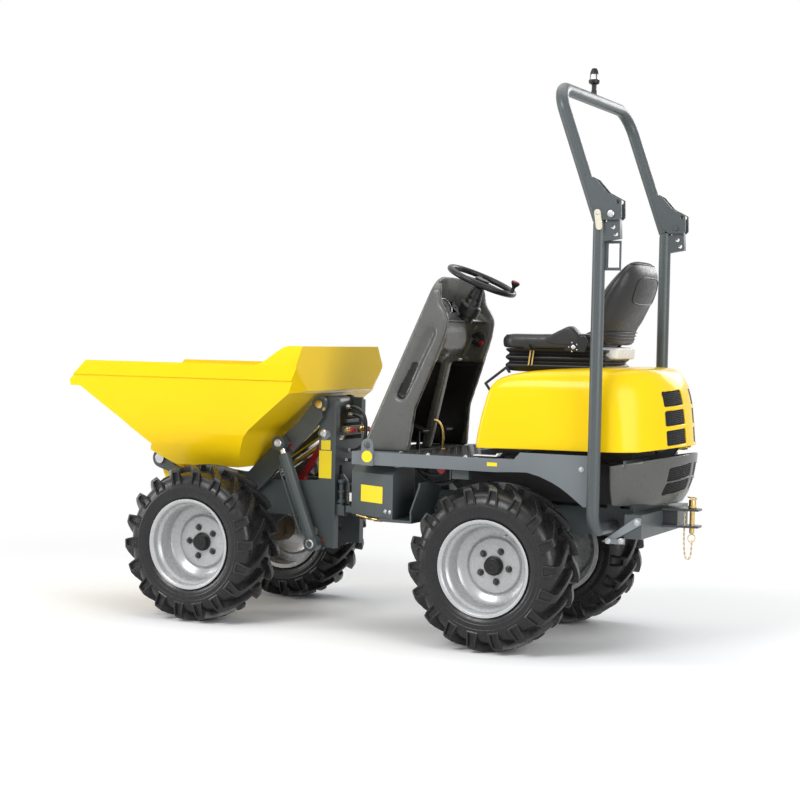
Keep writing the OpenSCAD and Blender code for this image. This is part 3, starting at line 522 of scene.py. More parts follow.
make_camera()
make_world()
make_floor()
area_light("key", (1.2, 6.2, 5.6), (0.0, 0.2, 0.8), (3.6, 2.6), 330)
area_light("front", (6.2, 3.4, 2.4), (0.4, 0.0, 0.8), (1.6, 3.4), 150)
area_light("rear", (-6.2, 3.2, 2.6), (-0.4, 0.0, 0.9), (3.4, 4.0), 210)
area_light("top", (0.0, -0.8, 6.5), (0.0, 0.0, 0.6), (7.0, 5.0), 190)
area_light("back", (-2.5, -5.5, 3.5), (0.0, 0.0, 1.0), (4.0, 2.0), 120)
scene.view_settings.view_transform = "Standard"


# Wheels. A tyre has a round carcass and two staggered rows of swept lugs with a recess in each end.

AXLE_Z = 364.0
WHEEL_Y = 441.0
LUGS = 18
# y and radius from the middle of the tread to the bead
CARCASS = [(0, 333), (40, 332), (78, 328), (103, 320), (116, 309), (125, 294), (130, 280), (133.2, 266),
           (133.8, 262), (131.8, 259.5), (132.2, 254), (131.5, 240), (129.6, 237.5), (129.2, 233), (127, 224),
           (122, 217), (120, 213), (113, 209.5), (104, 206), (100, 199)]
# stations of a lug: y and radius of its face, y and radius of its root, sweep, half angles of face and root
STATIONS = [(3, 363, 3, 328, 0.0, 2.0, 3.2), (30, 363.2, 28, 328, 3.6, 2.1, 3.3),
            (62, 361, 58, 327, 8.0, 2.3, 3.5), (95, 357, 86, 322, 12.6, 2.6, 3.7),
            (119, 352, 103, 314, 16.4, 2.9, 4.2), (127, 346, 110, 308, 17.2, 3.1, 4.4),
            (130.5, 336, 115, 300, 17.5, 3.4, 4.8), (133, 322, 119, 294, 17.7, 3.9, 5.1),
            (134.7, 303, 123, 284, 17.9, 4.6, 5.4), (134.9, 281, 127, 270, 18.0, 5.3, 5.9),
            (133.5, 275, 128, 268, 18.0, 5.4, 5.9)]
# the station where a lug's recess starts, and its depth at four stations
FIRST_SUNK = 6
SUNK = (11.0, 14.0, 13.0, 7.0)


def polar(r, deg, y):
    a = math.radians(deg)
    return Vector((r * math.cos(a), y, r * math.sin(a)))


def lug(bm, start, side):
    rows = []
    for y, r, root_y, root_r, turn, top, root in STATIONS:
        a = start + turn
        c = [polar(root_r, a - root, side * root_y)]
        c += [polar(r, a + top * k, side * y) for k in (-1.0, -0.62, 0.62, 1.0)]
        c.append(polar(root_r, a + root, side * root_y))
        rows.append([bm.verts.new(p) for p in c])
    sunk = []
    for j, (a, b) in enumerate(zip(rows, rows[1:])):
        for i in range(5):
            f = bm.faces.new((a[i], a[i + 1], b[i + 1], b[i]))
            if i == 2 and FIRST_SUNK <= j <= FIRST_SUNK + 2:
                sunk.append(f)
        bm.faces.new((a[5], a[0], b[0], b[5]))
    bm.faces.new(rows[0])
    bm.faces.new(rows[-1])
    own = {f for row in rows for v in row for f in v.link_faces}
    bmesh.ops.recalc_face_normals(bm, faces=list(own))
    out = bmesh.ops.extrude_face_region(bm, geom=sunk)
    for v in [v for v in out["geom"] if isinstance(v, bmesh.types.BMVert)]:
        r = math.hypot(v.co.x, v.co.z)
        k = min(range(4), key=lambda i: abs(STATIONS[FIRST_SUNK + i][1] - r))
        v.co.y -= side * SUNK[k]
    bmesh.ops.delete(bm, geom=sunk, context="FACES")


def about_axle(bm, profile, seg):
    """A closed profile of radius and y, turned about the axle."""
    loops = [ring(bm, (0, y, 0), Vector((1, 0, 0)), Vector(UP), r, seg) for r, y in profile]
    skin(bm, loops + [loops[0]])


def tyre_form(bm):
    half = [(r, y) for y, r in CARCASS]
    about_axle(bm, [(r, -y) for r, y in reversed(half)] + half[1:], 144)
    for i in range(LUGS):
        lug(bm, i * 360 / LUGS, 1)
        lug(bm, (i + 0.5) * 360 / LUGS, -1)


# radius and y around a rim's section
RIM = [(209.5, 127), (209.5, 121), (206, 117), (196, 113.5), (195.5, 96), (188, 92), (182, 84), (181, 30),
       (186, 5), (195.5, -6), (195.5, -111), (206, -117), (209.5, -121), (209.5, -127), (190, -127),
       (187, -100), (188, -20), (176, -18), (150, -17), (138, -31), (112, -19), (42, -17), (42, -5),
       (112, -5), (119, -8), (126, -16), (133, -18), (140, -14), (147, -10), (160, -4), (170, 6),
       (175, 20), (175.5, 78), (180, 86), (187, 92), (189, 97), (189.5, 112), (193, 120), (200, 125.5)]


def rim_form(bm):
    about_axle(bm, RIM, 96)
    lathe(bm, (0, 0, 0), LEFT, [(30.5, -111), (52, -109), (52, -17), (42, -12), (30.5, -12)], 40)
    # valve stem on the barrel of the rim
    a = polar(171, 118, 30)
    b = polar(160, 118, 52)
    sweep(bm, [a, a.lerp(b, 0.5), b], [7, 6, 4.5], 12)
    lathe(bm, b, b - a, [(5.4, 0), (5.4, 9), (4.0, 12)], 12)


def hub_form(bm):
    """The black cap over the axle's end, with a ring and a dimple."""
    lathe(bm, (0, 0, 0), LEFT, [(43, -6), (43, 2), (38, 4), (37.5, 21), (35, 25), (31, 26.5), (29, 24.5),
                                (20, 24.5), (18, 26.5), (8, 26.5), (6, 24), (4, 23.8)], 48)


def nuts_form(bm, phase):
    for i in range(5):
        a = math.radians(72 * i + phase)
        c = (70 * math.cos(a), -5, -70 * math.sin(a))
        lathe(bm, c, LEFT, [(15.5, -0.5), (15.5, 2.5), (12.5, 4.5)], 24)
        lathe(bm, c, LEFT, [(11.6, 3), (12.4, 4), (12.4, 13.5), (10.6, 15.5)], 6, a)
        lathe(bm, c, LEFT, [(6.6, 15), (6.6, 20), (5.4, 21.5)], 16)


def turned_over(draw, side):
    """A wheel's piece, turned over for the right."""
    bm = drawn(draw)
    for v in bm.verts:
        v.co.y *= side
    return bm


def make_wheel(place, side, centre, nut_phase):
    def nuts(bm):
        nuts_form(bm, nut_phase)

    for name, draw, material, slot, width, angle, node in (
            ("tread", tyre_form, "tyre_rubber", "tyre_rubber", 2.2, 28, "tyre"),
            ("wheel_rim", rim_form, "rim_silver", "rim_silver", 1.6, 24, "rim"),
            ("hub_cap", hub_form, "black_plastic", "black_plastic", 0.8, 30, None),
            ("wheel_nuts", nuts, "nut_dark", "steel_pin", 0.6, 30, None)):
        bm = turned_over(draw, side)
        obj = piece(f"{name}_{place}", bm, material, f"wheel_{place}", width, angle, 2, centre)
        if node:
            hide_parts(f"{node}_{place}")


for end, wheel_x, nut_phase in (("rear", 0.0, 28), ("front", 1480.0, 0)):
    for hand, side in (("left", 1), ("right", -1)):
        make_wheel(f"{end}_{hand}", side, (wheel_x, side * WHEEL_Y, AXLE_Z), nut_phase)


# Seat: a crowned cushion, side bolsters, a rounded backrest with a sewn panel, and a folded bellows.

# rear x, front x, half width, rear and front corner radius, bow of the front
SEAT_PLAN = (-326, 96, 232, 60, 80, 34)


def rounded_plan(x0, x1, half, r_rear, r_front, bow, inset=0.0, n=7):
    """Outline of a seat, counter-clockwise, its front bowed forward."""
    x0, x1, half = x0 + inset, x1 - inset, half - inset
    r_rear, r_front = max(r_rear - inset, 6.0), max(r_front - inset, 6.0)
    corners = ((x1 - r_front, r_front - half, r_front, -90), (x1 - r_front, half - r_front, r_front, 0),
               (x0 + r_rear, half - r_rear, r_rear, 90), (x0 + r_rear, r_rear - half, r_rear, 180))
    ends = ((x1, half - r_front), (x0 + r_rear, half), (x0, r_rear - half), (x1 - r_front, -half))
    pts = []
    for (cx, cy, r, start), (ex, ey) in zip(corners, ends):
        for k in range(n + 1):
            a = math.radians(start + 90 * k / n)
            pts.append((cx + r * math.cos(a), cy + r * math.sin(a)))
        lx, ly = pts[-1]
        pts += [(lx + (ex - lx) * k / 8, ly + (ey - ly) * k / 8) for k in range(1, 8)]
    out = []
    for x, y in pts:
        if x > 0:
            x += bow * (0.45 - (y / half) ** 2) * min(1.0, x / x1)
        out.append((x, y))
    return out


def stacked(bm, rings):
    """A closed skin over rings of points."""
    loops = [[bm.verts.new(p) for p in r] for r in rings]
    skin(bm, loops)
    bm.faces.new(loops[0])
    bm.faces.new(loops[-1])


def crown(x):
    """How much the cushion's top rises at its rear and falls at its front."""
    return 6.0 * max(0.0, -x - 80) / 240 - 7.0 * max(0.0, x - 60) / 90


def cushion_form(bm):
    rings = []
    for inset, z in ((26, 1302), (10, 1303.5), (3, 1310), (0.5, 1322), (0, 1334), (1, 1345), (5, 1354),
                     (12, 1360), (15, 1358.5), (18, 1360.5), (32, 1365.5), (60, 1367), (95, 1364),
                     (135, 1360), (175, 1357), (200, 1356)):
        row = []
        for x, y in rounded_plan(*SEAT_PLAN, inset):
            lift = crown(x) if z > 1340 else 0.0
            if z < 1312:
                lift = 6.0 * max(0.0, x - 100) / 60
            row.append((x, y, z + lift))
        rings.append(row)
    stacked(bm, rings)


def bolster_form(bm):
    """A wedge of padding that holds the hip."""
    outline = [(-112, 1340), (-140, 1358), (-222, 1398), (-240, 1405), (-256, 1400), (-278, 1374),
               (-300, 1346),
               (-290, 1316), (-150, 1316)]
    cx, cz = -205, 1356
    widths = ((160, 0.72), (165, 0.9), (174, 0.98), (190, 1.0), (212, 1.0), (226, 0.97),
              (234, 0.88), (237, 0.7))
    stacked(bm, [[(cx + (x - cx) * k, y, cz + (z - cz) * k) for x, z in outline] for y, k in widths])


# heights of the backrest: z, front x, rear x, half width
BACK = [(1322, -338, -421, 150), (1330, -332, -428, 176), (1345, -329, -433, 192), (1372, -326, -441, 208),
        (1400, -323, -451, 220), (1450, -321, -478, 230), (1500, -323, -505, 233), (1545, -350, -524, 232),
        (1580, -378, -531, 228), (1610, -403, -534, 219), (1640, -430, -532, 203), (1662, -450, -524, 182),
        (1678, -467, -514, 152), (1686, -479, -505, 118), (1690, -487, -498, 70)]
BACK_POINTS = 56


def back_point(z, t):
    """A point of the backrest's skin at height z; t runs once around, 0 at the front, 0.5 at the rear."""
    for a, b in zip(BACK, BACK[1:]):
        if z <= b[0]:
            break
    k = max(0.0, min(1.0, (z - a[0]) / (b[0] - a[0])))
    front, rear, half = (a[i] + (b[i] - a[i]) * k for i in (1, 2, 3))
    c, s = math.cos(2 * math.pi * t), math.sin(2 * math.pi * t)
    n = 2.6 if c > 0 else 2.15
    mid = front + (rear - front) * 0.40
    depth = (front - mid) if c > 0 else (mid - rear)
    x = mid + depth * math.copysign(abs(c) ** (2 / n), c)
    y = half * math.copysign(abs(s) ** (2 / n), s)
    return Vector((x, y, z))


def back_form(bm):
    between = [1352, 1358, 1365, 1386, 1425, 1475, 1522, 1562, 1595, 1625]
    rings = []
    for z in sorted({row[0] for row in BACK} | set(between)):
        row = []
        for i in range(BACK_POINTS):
            t = i / BACK_POINTS
            p = back_point(z, t)
            # grooves across the lower rear
            if z in (1358, 1372, 1386, 1400) and 0.27 < t < 0.73:
                p.x += 6.0
            # the lower front is dished for the back
            if t < 0.16 or t > 0.84:
                p.x -= 12 * (1 - (p.y / 235) ** 2) * max(0.0, 1 - abs(z - 1470) / 110)
            row.append(p)
        rings.append(row)
    stacked(bm, rings)


def bellows_form(bm):
    folds = ((1196, 16), (1208, 14), (1219, 3), (1226, 0), (1233, 3), (1241, 17), (1244, 18), (1247, 17),
             (1255, 3), (1262, 0), (1269, 3), (1277, 17), (1280, 18), (1283, 17), (1290, 5), (1296, 2),
             (1301, 3), (1303, 12))
    rows = [(z, rounded_plan(-392, 84, 186, 34, 34, 0.0, inset, 5)) for z, inset in folds]
    stacked(bm, [[(x, y, z) for x, y in plan] for z, plan in rows])


cushion = piece("seat_pad", drawn(cushion_form), "seat_vinyl", "hood", 0)
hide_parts("seat_cushion")
rounder(cushion, 1)
bolsters = piece("seat_bolsters", mirrored(bolster_form), "seat_vinyl", "hood", 0)
rounder(bolsters, 2)
back = piece("seat_backrest", drawn(back_form), "seat_vinyl", "hood", 0)
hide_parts("seat_back")
rounder(back, 1)


@part("seat_piping", "black_plastic", "hood", 0, both=False)
def seat_piping(bm):
    """Piping round the rear panel, along the side seams and ribs of the backrest, and round the cushion."""
    panel = []
    for k in range(40):
        c, s = math.cos(2 * math.pi * k / 40), math.sin(2 * math.pi * k / 40)
        t = 0.5 + 0.105 * math.copysign(abs(c) ** 0.5, c)
        panel.append(back_point(1560 + 58 * math.copysign(abs(s) ** 0.5, s), t))
    sweep(bm, panel, 3.2, 8, closed=True)
    for t in (0.235, 0.765):
        sweep(bm, [back_point(z, t) for z in range(1345, 1672, 12)], 2.8, 8)
    for z in (1338, 1352, 1366, 1380):
        sweep(bm, [back_point(z, 0.26 + 0.48 * k / 30) for k in range(31)], 2.4, 8)
    sweep(bm, [back_point(1676, t / 40) for t in range(10, 31)], 2.6, 8)
    edge = [(x, y, 1359.5 + crown(x)) for x, y in rounded_plan(*SEAT_PLAN, 13.5)]
    sweep(bm, edge, 2.8, 8, closed=True)


bellows = piece("seat_bellows", drawn(bellows_form), "black_plastic", "hood", 0)
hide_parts("seat_base")
rounder(bellows, 1)


@part("belt_reel", "white_plate", "hood", 8, both=False, angle=30, seg=3)
def belt_reel(bm):
    """Cover of the belt's reel under the backrest."""
    prism(bm, [(-340, 1262), (-426, 1262), (-430, 1312), (-346, 1316)], "y", -120, 120)


@part("seat_slides", "black_plastic", "hood", width=3, angle=30, seg=3)
def seat_slides(bm):
    """Slide, buckle stalk and clip beside the cushion."""
    brick(bm, -330, 20, 188, 196, 1294, 1303)
    prism(bm, [(-215, 1296), (-315, 1290), (-330, 1330), (-310, 1362), (-282, 1356), (-240, 1322)],
          "y", 214, 234)
    prism(bm, [(-35, 1300), (-66, 1300), (-62, 1318), (-40, 1318)], "y", 230, 243)


@part("seat_clips", "steel_pin", "hood", width=0.6)
def seat_clips(bm):
    centre = Vector((-264, 232, 1312))
    lathe(bm, centre, LEFT, [(10, 0), (10, 5), (7, 7.5), (3, 8)], 20)
    for p in loop_path(centre, (20, 0, 0), (0, 0, 20), 5):
        lathe(bm, p, LEFT, [(3.2, 0), (3.2, 4), (2, 5)], 10)


@part("bellows_tags", "tag_gold", "hood", 0.4)
def bellows_tags(bm):
    """Two tags that hang over the bellows."""
    for x in (-47, -62):
        prism(bm, [(x, 1303), (x - 6, 1303), (x + 4, 1228), (x + 10, 1228)], "y", 188, 190.5)


# Skins of the hood and the rear cover: outlines met with rounded edges, hollow, cut for slanted openings.

# near and far y, corner radius and slope of an opening
LOUVER = (56, 206, 7, math.tan(math.radians(3.5)))
GRILLE = (18, 195, 8, math.tan(math.radians(6)))


def blend_max(rows, k):
    """The largest of several levels, rounded where they meet."""
    f = np.stack(rows)
    top = f.max(axis=0)
    return top + k * np.log(np.exp((f - top) / k).sum(axis=0))


def outline_level(u, v, outline, k):
    """Distance outside a convex outline that runs counter-clockwise, with rounded corners."""
    rows = []
    for (x0, y0), (x1, y1) in zip(outline, outline[1:] + outline[:1]):
        n = math.hypot(x1 - x0, y1 - y0)
        rows.append(((y1 - y0) * (u - x0) - (x1 - x0) * (v - y0)) / n)
    return blend_max(rows, k)


def tail_level(p, back, lean, z, half=415.0, tail=500.0, corner=120.0):
    """Distance outside the leaning tail: a wide arc at the rear, arcs at its corners, then straight sides."""
    c, s = math.cos(math.radians(lean)), math.sin(math.radians(lean))
    x = (p[:, 0] - back) * c - (p[:, 2] - z) * s + back
    y = np.abs(p[:, 1])
    cy = half - corner
    cx = back + tail - math.sqrt((tail - corner) ** 2 - cy ** 2)
    turn = math.asin(cy / (tail - corner))
    wide = np.hypot(x - back - tail, y) - tail
    near = np.hypot(x - cx, y - cy) - corner
    at_rear = np.arctan2(y, back + tail - x) < turn
    return np.where(x > cx, y - half, np.where(at_rear, wide, near))


def reach(level, start, way, far, depth=0.0):
    """Points along the ways from the starts at which a level is met."""
    low, high = np.zeros(len(way)), np.full(len(way), float(far))
    for _ in range(36):
        mid = (low + high) / 2
        inside = level(start + way * mid[:, None]) < -depth
        low, high = np.where(inside, mid, low), np.where(inside, high, mid)
    return start + way * low[:, None]


def on_rear(level, ys, zs, depth):
    """Points at the rear of a skin, some depth under it."""
    start = np.column_stack((np.full(len(ys), -300.0), ys, zs))
    return reach(level, start, np.tile(np.array(REAR, float), (len(ys), 1)), 600, depth)


def opening_outline(kind, z0, z1, side):
    """Rounded outline of one opening in y and z, its top sloping up to the middle."""
    y0, y1, r, slope = kind
    out = []
    for cy, cz, start in ((y1 - r, z1 - r, 0), (y0 + r, z1 - r, 90), (y0 + r, z0 + r, 180),
                          (y1 - r, z0 + r, 270)):
        for k in range(5):
            a = math.radians(start + 22.5 * k)
            y = cy + r * math.cos(a)
            out.append((side * y, cz + r * math.sin(a) - (y - (y0 + y1) / 2) * slope))
    return out


def rim_of(rows):
    return rows[0] + [r[-1] for r in rows[1:]] + rows[-1][-2::-1] + [r[0] for r in rows[-2:0:-1]]


def woven(bm, level, kind, ends, side, uprights, tall, bars, wide, r, shade_sheet):
    """Crossed bars in one opening, following the skin, and a dark sheet behind them: painted shade inside the
    opening.
    """
    y0, y1, _, slope = kind
    z0, z1 = ends

    def line(ys, zs, depth):
        return on_rear(level, side * ys, zs - (ys - (y0 + y1) / 2) * slope, depth)

    for y in np.linspace(y0 - 4, y1 + 4, uprights):
        sweep(bm, line(np.full(tall, y), np.linspace(z0 - 3, z1 + 3, tall), 5.0), r, 6)
    for z in bars:
        ys = np.linspace(y0 - 6, y1 + 6, wide)
        sweep(bm, line(ys, np.full(wide, z), 4.0), r, 6)
    # the dark sheet some depth under the skin is painted shade in place of the dark inside
    heights, depth = shade_sheet
    ys = np.linspace(y0 - 8, y1 + 8, wide)
    rows = [line(ys, np.full(wide, z), depth) for z in heights]
    front = [[bm.verts.new(p) for p in row] for row in rows]
    behind = [[bm.verts.new(p + np.array((2.0, 0, 0))) for p in row] for row in rows]
    skin(bm, front, False)
    skin(bm, behind, False)
    skin(bm, [rim_of(front), rim_of(behind)])


def trimmed(bm, plane_at, away):
    """Cuts off what lies behind a plane."""
    geom = list(bm.verts) + list(bm.edges) + list(bm.faces)
    bmesh.ops.bisect_plane(bm, geom=geom, dist=0.01, plane_co=plane_at, plane_no=away, clear_inner=True)


def baked(obj, name):
    """The object's final mesh as a new object, the old one removed."""
    me = bpy.data.meshes.new_from_object(obj.evaluated_get(bpy.context.evaluated_depsgraph_get()))
    me.name = name
    new = bpy.data.objects.new(name, me)
    scene.collection.objects.link(new)
    removed(obj)
    return new


def loose(name, bm):
    """An object in metres that is not yet a piece."""
    for v in bm.verts:
        v.co = at(*v.co)
    me = bpy.data.meshes.new(name)
    bm.to_mesh(me)
    bm.free()
    obj = bpy.data.objects.new(name, me)
    scene.collection.objects.link(obj)
    return obj


def cut_by(obj, bm):
    """Takes a form out of an object and returns the cutter, to be removed later."""
    bmesh.ops.recalc_face_normals(bm, faces=bm.faces)
    cutter = loose("cutter", bm)
    cut = obj.modifiers.new("cut", "BOOLEAN")
    cut.operation = "DIFFERENCE"
    cut.object = cutter
    cut.solver = "EXACT"
    return cutter


def placed(obj, material, body, replaces):
    obj.data.materials.clear()
    obj.data.materials.append(MAT[material])
    obj.data.shade_smooth()
    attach(obj, body)
    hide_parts(replaces)
    return obj


def shell_piece(name, form, wall, outlines, far, near, material, body, node):
    """A skin given a wall and cut through at its rear by outlines."""
    shell = loose(name + "_raw", form)
    thick = shell.modifiers.new("wall", "SOLIDIFY")
    thick.thickness = wall
    thick.offset = -1.0
    thick.use_rim = True
    bm = bmesh.new()
    for outline in outlines:
        prism(bm, outline, "x", far, near)
    cutter = cut_by(shell, bm)
    obj = placed(baked(shell, name), material, body, node)
    removed(cutter)
    n = obj.modifiers.new("normals", "WEIGHTED_NORMAL")
    n.weight = 80
    n.keep_sharp = False


# Hood: outlines from the side, from behind, and of its tail.
HOOD_SIDE = [(122, 600), (128, 924), (106, 1019), (70, 1142), (32, 1179), (-52, 1207), (-166, 1224),
             (-389, 1239), (-525, 1245), (-600, 1237), (-640, 1223), (-675, 1197), (-712, 1150),
             (-745, 1040), (-790, 600)]
HOOD_FACE = [(-415, 600), (415, 600), (415, 1040), (407, 1110), (387, 1170), (351, 1215), (295, 1238),
             (215, 1246), (-215, 1246), (-295, 1238), (-351, 1215), (-387, 1170), (-407, 1110),
             (-415, 1040)]
LOUVERS = [(z, side) for z in (905, 988, 1070) for side in (1, -1)]
LOUVER_TALL = 64


def hood_level(p):
    side = outline_level(p[:, 0], p[:, 2], HOOD_SIDE, 9.0)
    face = outline_level(p[:, 1], p[:, 2], HOOD_FACE, 9.0)
    tails = [tail_level(p, -734.0, 5.0, 880.0), tail_level(p, -707.0, 30.0, 1140.0)]
    return blend_max([side, face] + tails, 13.0)


def rounded_rect(x0, x1, y0, y1, r, count):
    """Evenly spaced points round a rectangle with rounded corners."""
    pts = []
    for cx, cy, start in ((x1 - r, y1 - r, 0), (x0 + r, y1 - r, 90), (x0 + r, y0 + r, 180),
                          (x1 - r, y0 + r, 270)):
        turns = [math.radians(start + 90 * k / 12) for k in range(13)]
        pts += [(cx + r * math.cos(a), cy + r * math.sin(a)) for a in turns]
    pts = np.array(pts + pts[:1])
    run = np.concatenate(([0], np.cumsum(np.hypot(*np.diff(pts, axis=0).T))))
    t = np.linspace(0, run[-1], count, endpoint=False)
    return np.stack([np.interp(t, run, pts[:, 0]), np.interp(t, run, pts[:, 1])], 1)


def hood_form():
    """Rays from the middle, through rings around it and over it, met with the hood's level."""
    bm = bmesh.new()
    mid = np.array((-300.0, 0.0, 850.0))
    edge = rounded_rect(-740, 125, -415, 415, 130, 224)
    rings = [np.column_stack((edge, np.full(len(edge), z))) for z in np.linspace(852, 1240, 34)]
    for k in np.linspace(0.97, 0.03, 30):
        rings.append(np.column_stack((mid[:2] + (edge - mid[:2]) * k, np.full(len(edge), 1242.0))))
    loops = []
    for row in rings:
        way = row - mid
        way /= np.linalg.norm(way, axis=1)[:, None]
        loops.append([bm.verts.new(p) for p in reach(hood_level, mid, way, 900)])
    skin(bm, loops)
    bm.faces.new(loops[-1])
    # the lower edge rises toward the rear in two slopes
    for (x0, z0), (x1, z1) in (((122, 867), (-600, 876)), ((-600, 876), (-752, 898))):
        trimmed(bm, (x0, 0, z0), Vector((z1 - z0, 0, x0 - x1)).normalized())
    bmesh.ops.recalc_face_normals(bm, faces=bm.faces)
    if sum(f.normal.z for f in bm.faces) < 0:
        bmesh.ops.reverse_faces(bm, faces=bm.faces)
    return bm


louver_cuts = [opening_outline(LOUVER, z, z + LOUVER_TALL, side) for z, side in LOUVERS]
shell_piece("hood_shell", hood_form(), 0.006, louver_cuts, -830, -560, "yellow_paint", "hood", "hood")


@part("hood_hinges", "yellow_paint", "hood", both=False)
def hood_hinges(bm):
    for s in (1, -1):
        prism(bm, [(-722, 886), (-686, 878), (-684, 910), (-700, 970), (-718, 962)], "y", s * 28, s * 36)
        lathe(bm, (-700, s * 8, 890), (0, s, 0), [(8, 0), (8, 24)], 20)


@part("hood_mesh", "mesh_black", "hood", width=0, both=False)
def hood_mesh(bm):
    for z, side in LOUVERS:
        bars = np.linspace(z + 1, z + 63, 9)
        # heights of the dark sheet behind the bars: painted shade inside the louver
        shade_sheet = [z + v for v in (-6, 15, 32, 49, 70)]
        woven(bm, hood_level, LOUVER, (z, z + LOUVER_TALL), side, 17, 7, bars, 9, 2.0, (shade_sheet, 10.0))


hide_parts("hood_louvers")


# Console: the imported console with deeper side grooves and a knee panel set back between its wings,
# as one moulding with soft edges.


def console_half(z):
    """Half width of the console at a height."""
    return 345 - 70 * (z - 826) / 634 if z < 1460 else 275 - 20 * (z - 1460) / 162


def groove_form(bm):
    """A long rounded recess that follows the sloping side."""
    low = Vector((526, 0, 1078))
    high = Vector((386, 0, 1388))
    n = 14
    path = [low.lerp(high, k / n) for k in range(n + 1)]
    path = [(p.x, console_half(p.z) + 5, p.z) for p in path]
    sweep(bm, path, [18] + [28] * (n - 1) + [18], 16)


def recess_form(bm):
    """The space behind the knee panel: the panel bulges in the middle and falls back at both wings."""
    rear = [(452, 1252), (436, 1268), (408, 1294), (394, 1328), (394, 1362), (400, 1396), (402, 1416)]
    loops = []
    for k in range(-25, 26):
        y = 10.0 * k
        t = min(1.0, max(0.0, (abs(y) - 110) / 110))
        fall = 46 * t * t * (3 - 2 * t)
        pts = [(min(x + fall, 672 - 0.4536 * (z - 826)), z) for x, z in rear]
        loops.append([bm.verts.new((x, y, z)) for x, z in [(180, 1252)] + pts + [(180, 1416)]])
    skin(bm, loops)
    bm.faces.new(loops[0])
    bm.faces.new(loops[-1])


def shelf_form(bm):
    prism(bm, [(180, 1200), (482, 1200), (468, 1228), (452, 1254), (440, 1266), (180, 1266)], "y", 26, 250)


def crown_form(bm):
    """What is left away above the arch of the cowl, on one side."""
    prism(bm, [(420, 1424), (300, 1424), (297, 1462), (288, 1508), (268, 1550), (238, 1583), (196, 1606),
               (140, 1619), (70, 1625), (-5, 1627), (-5, 1720), (420, 1720)], "x", 150, 700)


def edge_form(bm):
    """What is left away behind the rear edge of both wings."""
    prism(bm, [(150, 1330), (336, 1330), (325, 1372), (319, 1408), (319, 1432), (327, 1456), (345, 1482),
               (356, 1502), (362, 1530), (362, 1720), (150, 1720)], "y", -420, 420)


def make_console():
    raw = bpy.data.objects.new("console_raw", nodes["console"].data.copy())
    scene.collection.objects.link(raw)
    w = raw.modifiers.new("weld", "WELD")
    w.merge_threshold = 0.00002
    forms = [drawn(recess_form), mirrored(shelf_form), drawn(edge_form), mirrored(crown_form),
             mirrored(groove_form)]
    cutters = [cut_by(raw, form) for form in forms]
    r = raw.modifiers.new("voxels", "REMESH")
    r.mode = "VOXEL"
    r.voxel_size = 0.0062
    s = raw.modifiers.new("soft", "SMOOTH")
    s.factor = 0.5
    s.iterations = 20
    d = raw.modifiers.new("fewer", "DECIMATE")
    d.decimate_type = "COLLAPSE"
    d.ratio = 0.5
    obj = placed(baked(raw, "console_shell"), "dark_plastic", "rear_chassis", "console")
    for cutter in cutters:
        removed(cutter)
    # the lower inside of the hollow gets black plastic by position: painted shade in the recess
    obj.data.materials.append(MAT["black_plastic"])
    for f in obj.data.polygons:
        x, y, z = f.center.x * 1000 + MID_X, f.center.y * 1000, f.center.z * 1000
        ahead = x > 472 - (z - 826) * 0.31 + 26 and f.normal.x < 0.25
        if z < 1228 and 27 < abs(y) < console_half(z) - 12 and ahead:
            f.material_index = 1


make_console()

# Switch panel on the right wing, gauges, column collar with its stalk, and a brass lever on the floor.
OCTAGON = [(432, 1322), (432, 1354), (411, 1384), (379, 1385), (355, 1360), (356, 1320), (378, 1290),
           (412, 1292)]
INNER = [(394 + (x - 394) * 0.78, 1338 + (z - 1338) * 0.78) for x, z in OCTAGON]
GAUGE = (420, 70, 1487)
SMALL_GAUGE = (436, -75, 1482)
GAUGE_WAY = (-0.86, 0.1, 0.5)
WHEEL_LEAN = math.radians(23.6)
TILT = Vector((-math.sin(WHEEL_LEAN), 0, math.cos(WHEEL_LEAN)))
HUB = Vector((273, 0, 1605))
KNOB = HUB + (Matrix.Rotation(-WHEEL_LEAN, 3, "Y") @ Vector((-156, 0, 0)))


@part("switch_frame", "dark_plastic", "rear_chassis", width=2.5, both=False, angle=30)
def switch_frame(bm):
    rows = ((OCTAGON, -6), (OCTAGON, 5), (INNER, 5), (INNER, -6))
    loops = [[bm.verts.new((x, d - (console_half(z) - 35), z)) for x, z in pts] for pts, d in rows]
    skin(bm, loops + [loops[0]])


@part("switches", "black_plastic", "rear_chassis", width=1.2, both=False)
def switches(bm):
    prism(bm, INNER, "y", -262, -252)
    for x, z in ((412, 1352), (412, 1322), (376, 1346), (394, 1312)):
        lathe(bm, (x, -254, z), LEFT, [(11, 0), (11, 8), (8, 10), (8, 20), (6.5, 22)], 18)
    prism(bm, [(384, 1352), (402, 1352), (402, 1368), (384, 1368)], "y", -254, -240)


@part("stop_button", "red_paint", "rear_chassis", 0.8, both=False)
def stop_button(bm):
    lathe(bm, (373, -254, 1320), LEFT, [(9, 0), (9, 14), (11, 15), (11, 21), (8, 23)], 18)


@part("gauge_pods", "black_plastic", "rear_chassis", both=False)
def gauge_pods(bm):
    lathe(bm, GAUGE, GAUGE_WAY, [(20, -34), (38, -20), (40, 0), (38, 4), (33, 4), (32, 0), (10, -1)], 36)
    lathe(bm, SMALL_GAUGE, GAUGE_WAY, [(16, -30), (28, -16), (29, 0), (27, 3), (24, 3), (23, 0), (8, -1)], 32)


@part("gauge_faces", "engine_grey", "rear_chassis", 0.4, both=False)
def gauge_faces(bm):
    lathe(bm, GAUGE, GAUGE_WAY, [(32, -2), (32, 1), (4, 1.4), (3, 4)], 32)
    lathe(bm, SMALL_GAUGE, GAUGE_WAY, [(23, -2), (23, 1), (4, 1.4), (3, 4)], 28)


@part("gauge_bezel", "steel_pin", "rear_chassis", width=0.4, both=False)
def gauge_bezel(bm):
    n, u, v = frame_of(GAUGE_WAY)
    sweep(bm, loop_path(Vector(GAUGE) + n * 3, u * 38, v * 38, 36), 2.4, 8, closed=True)


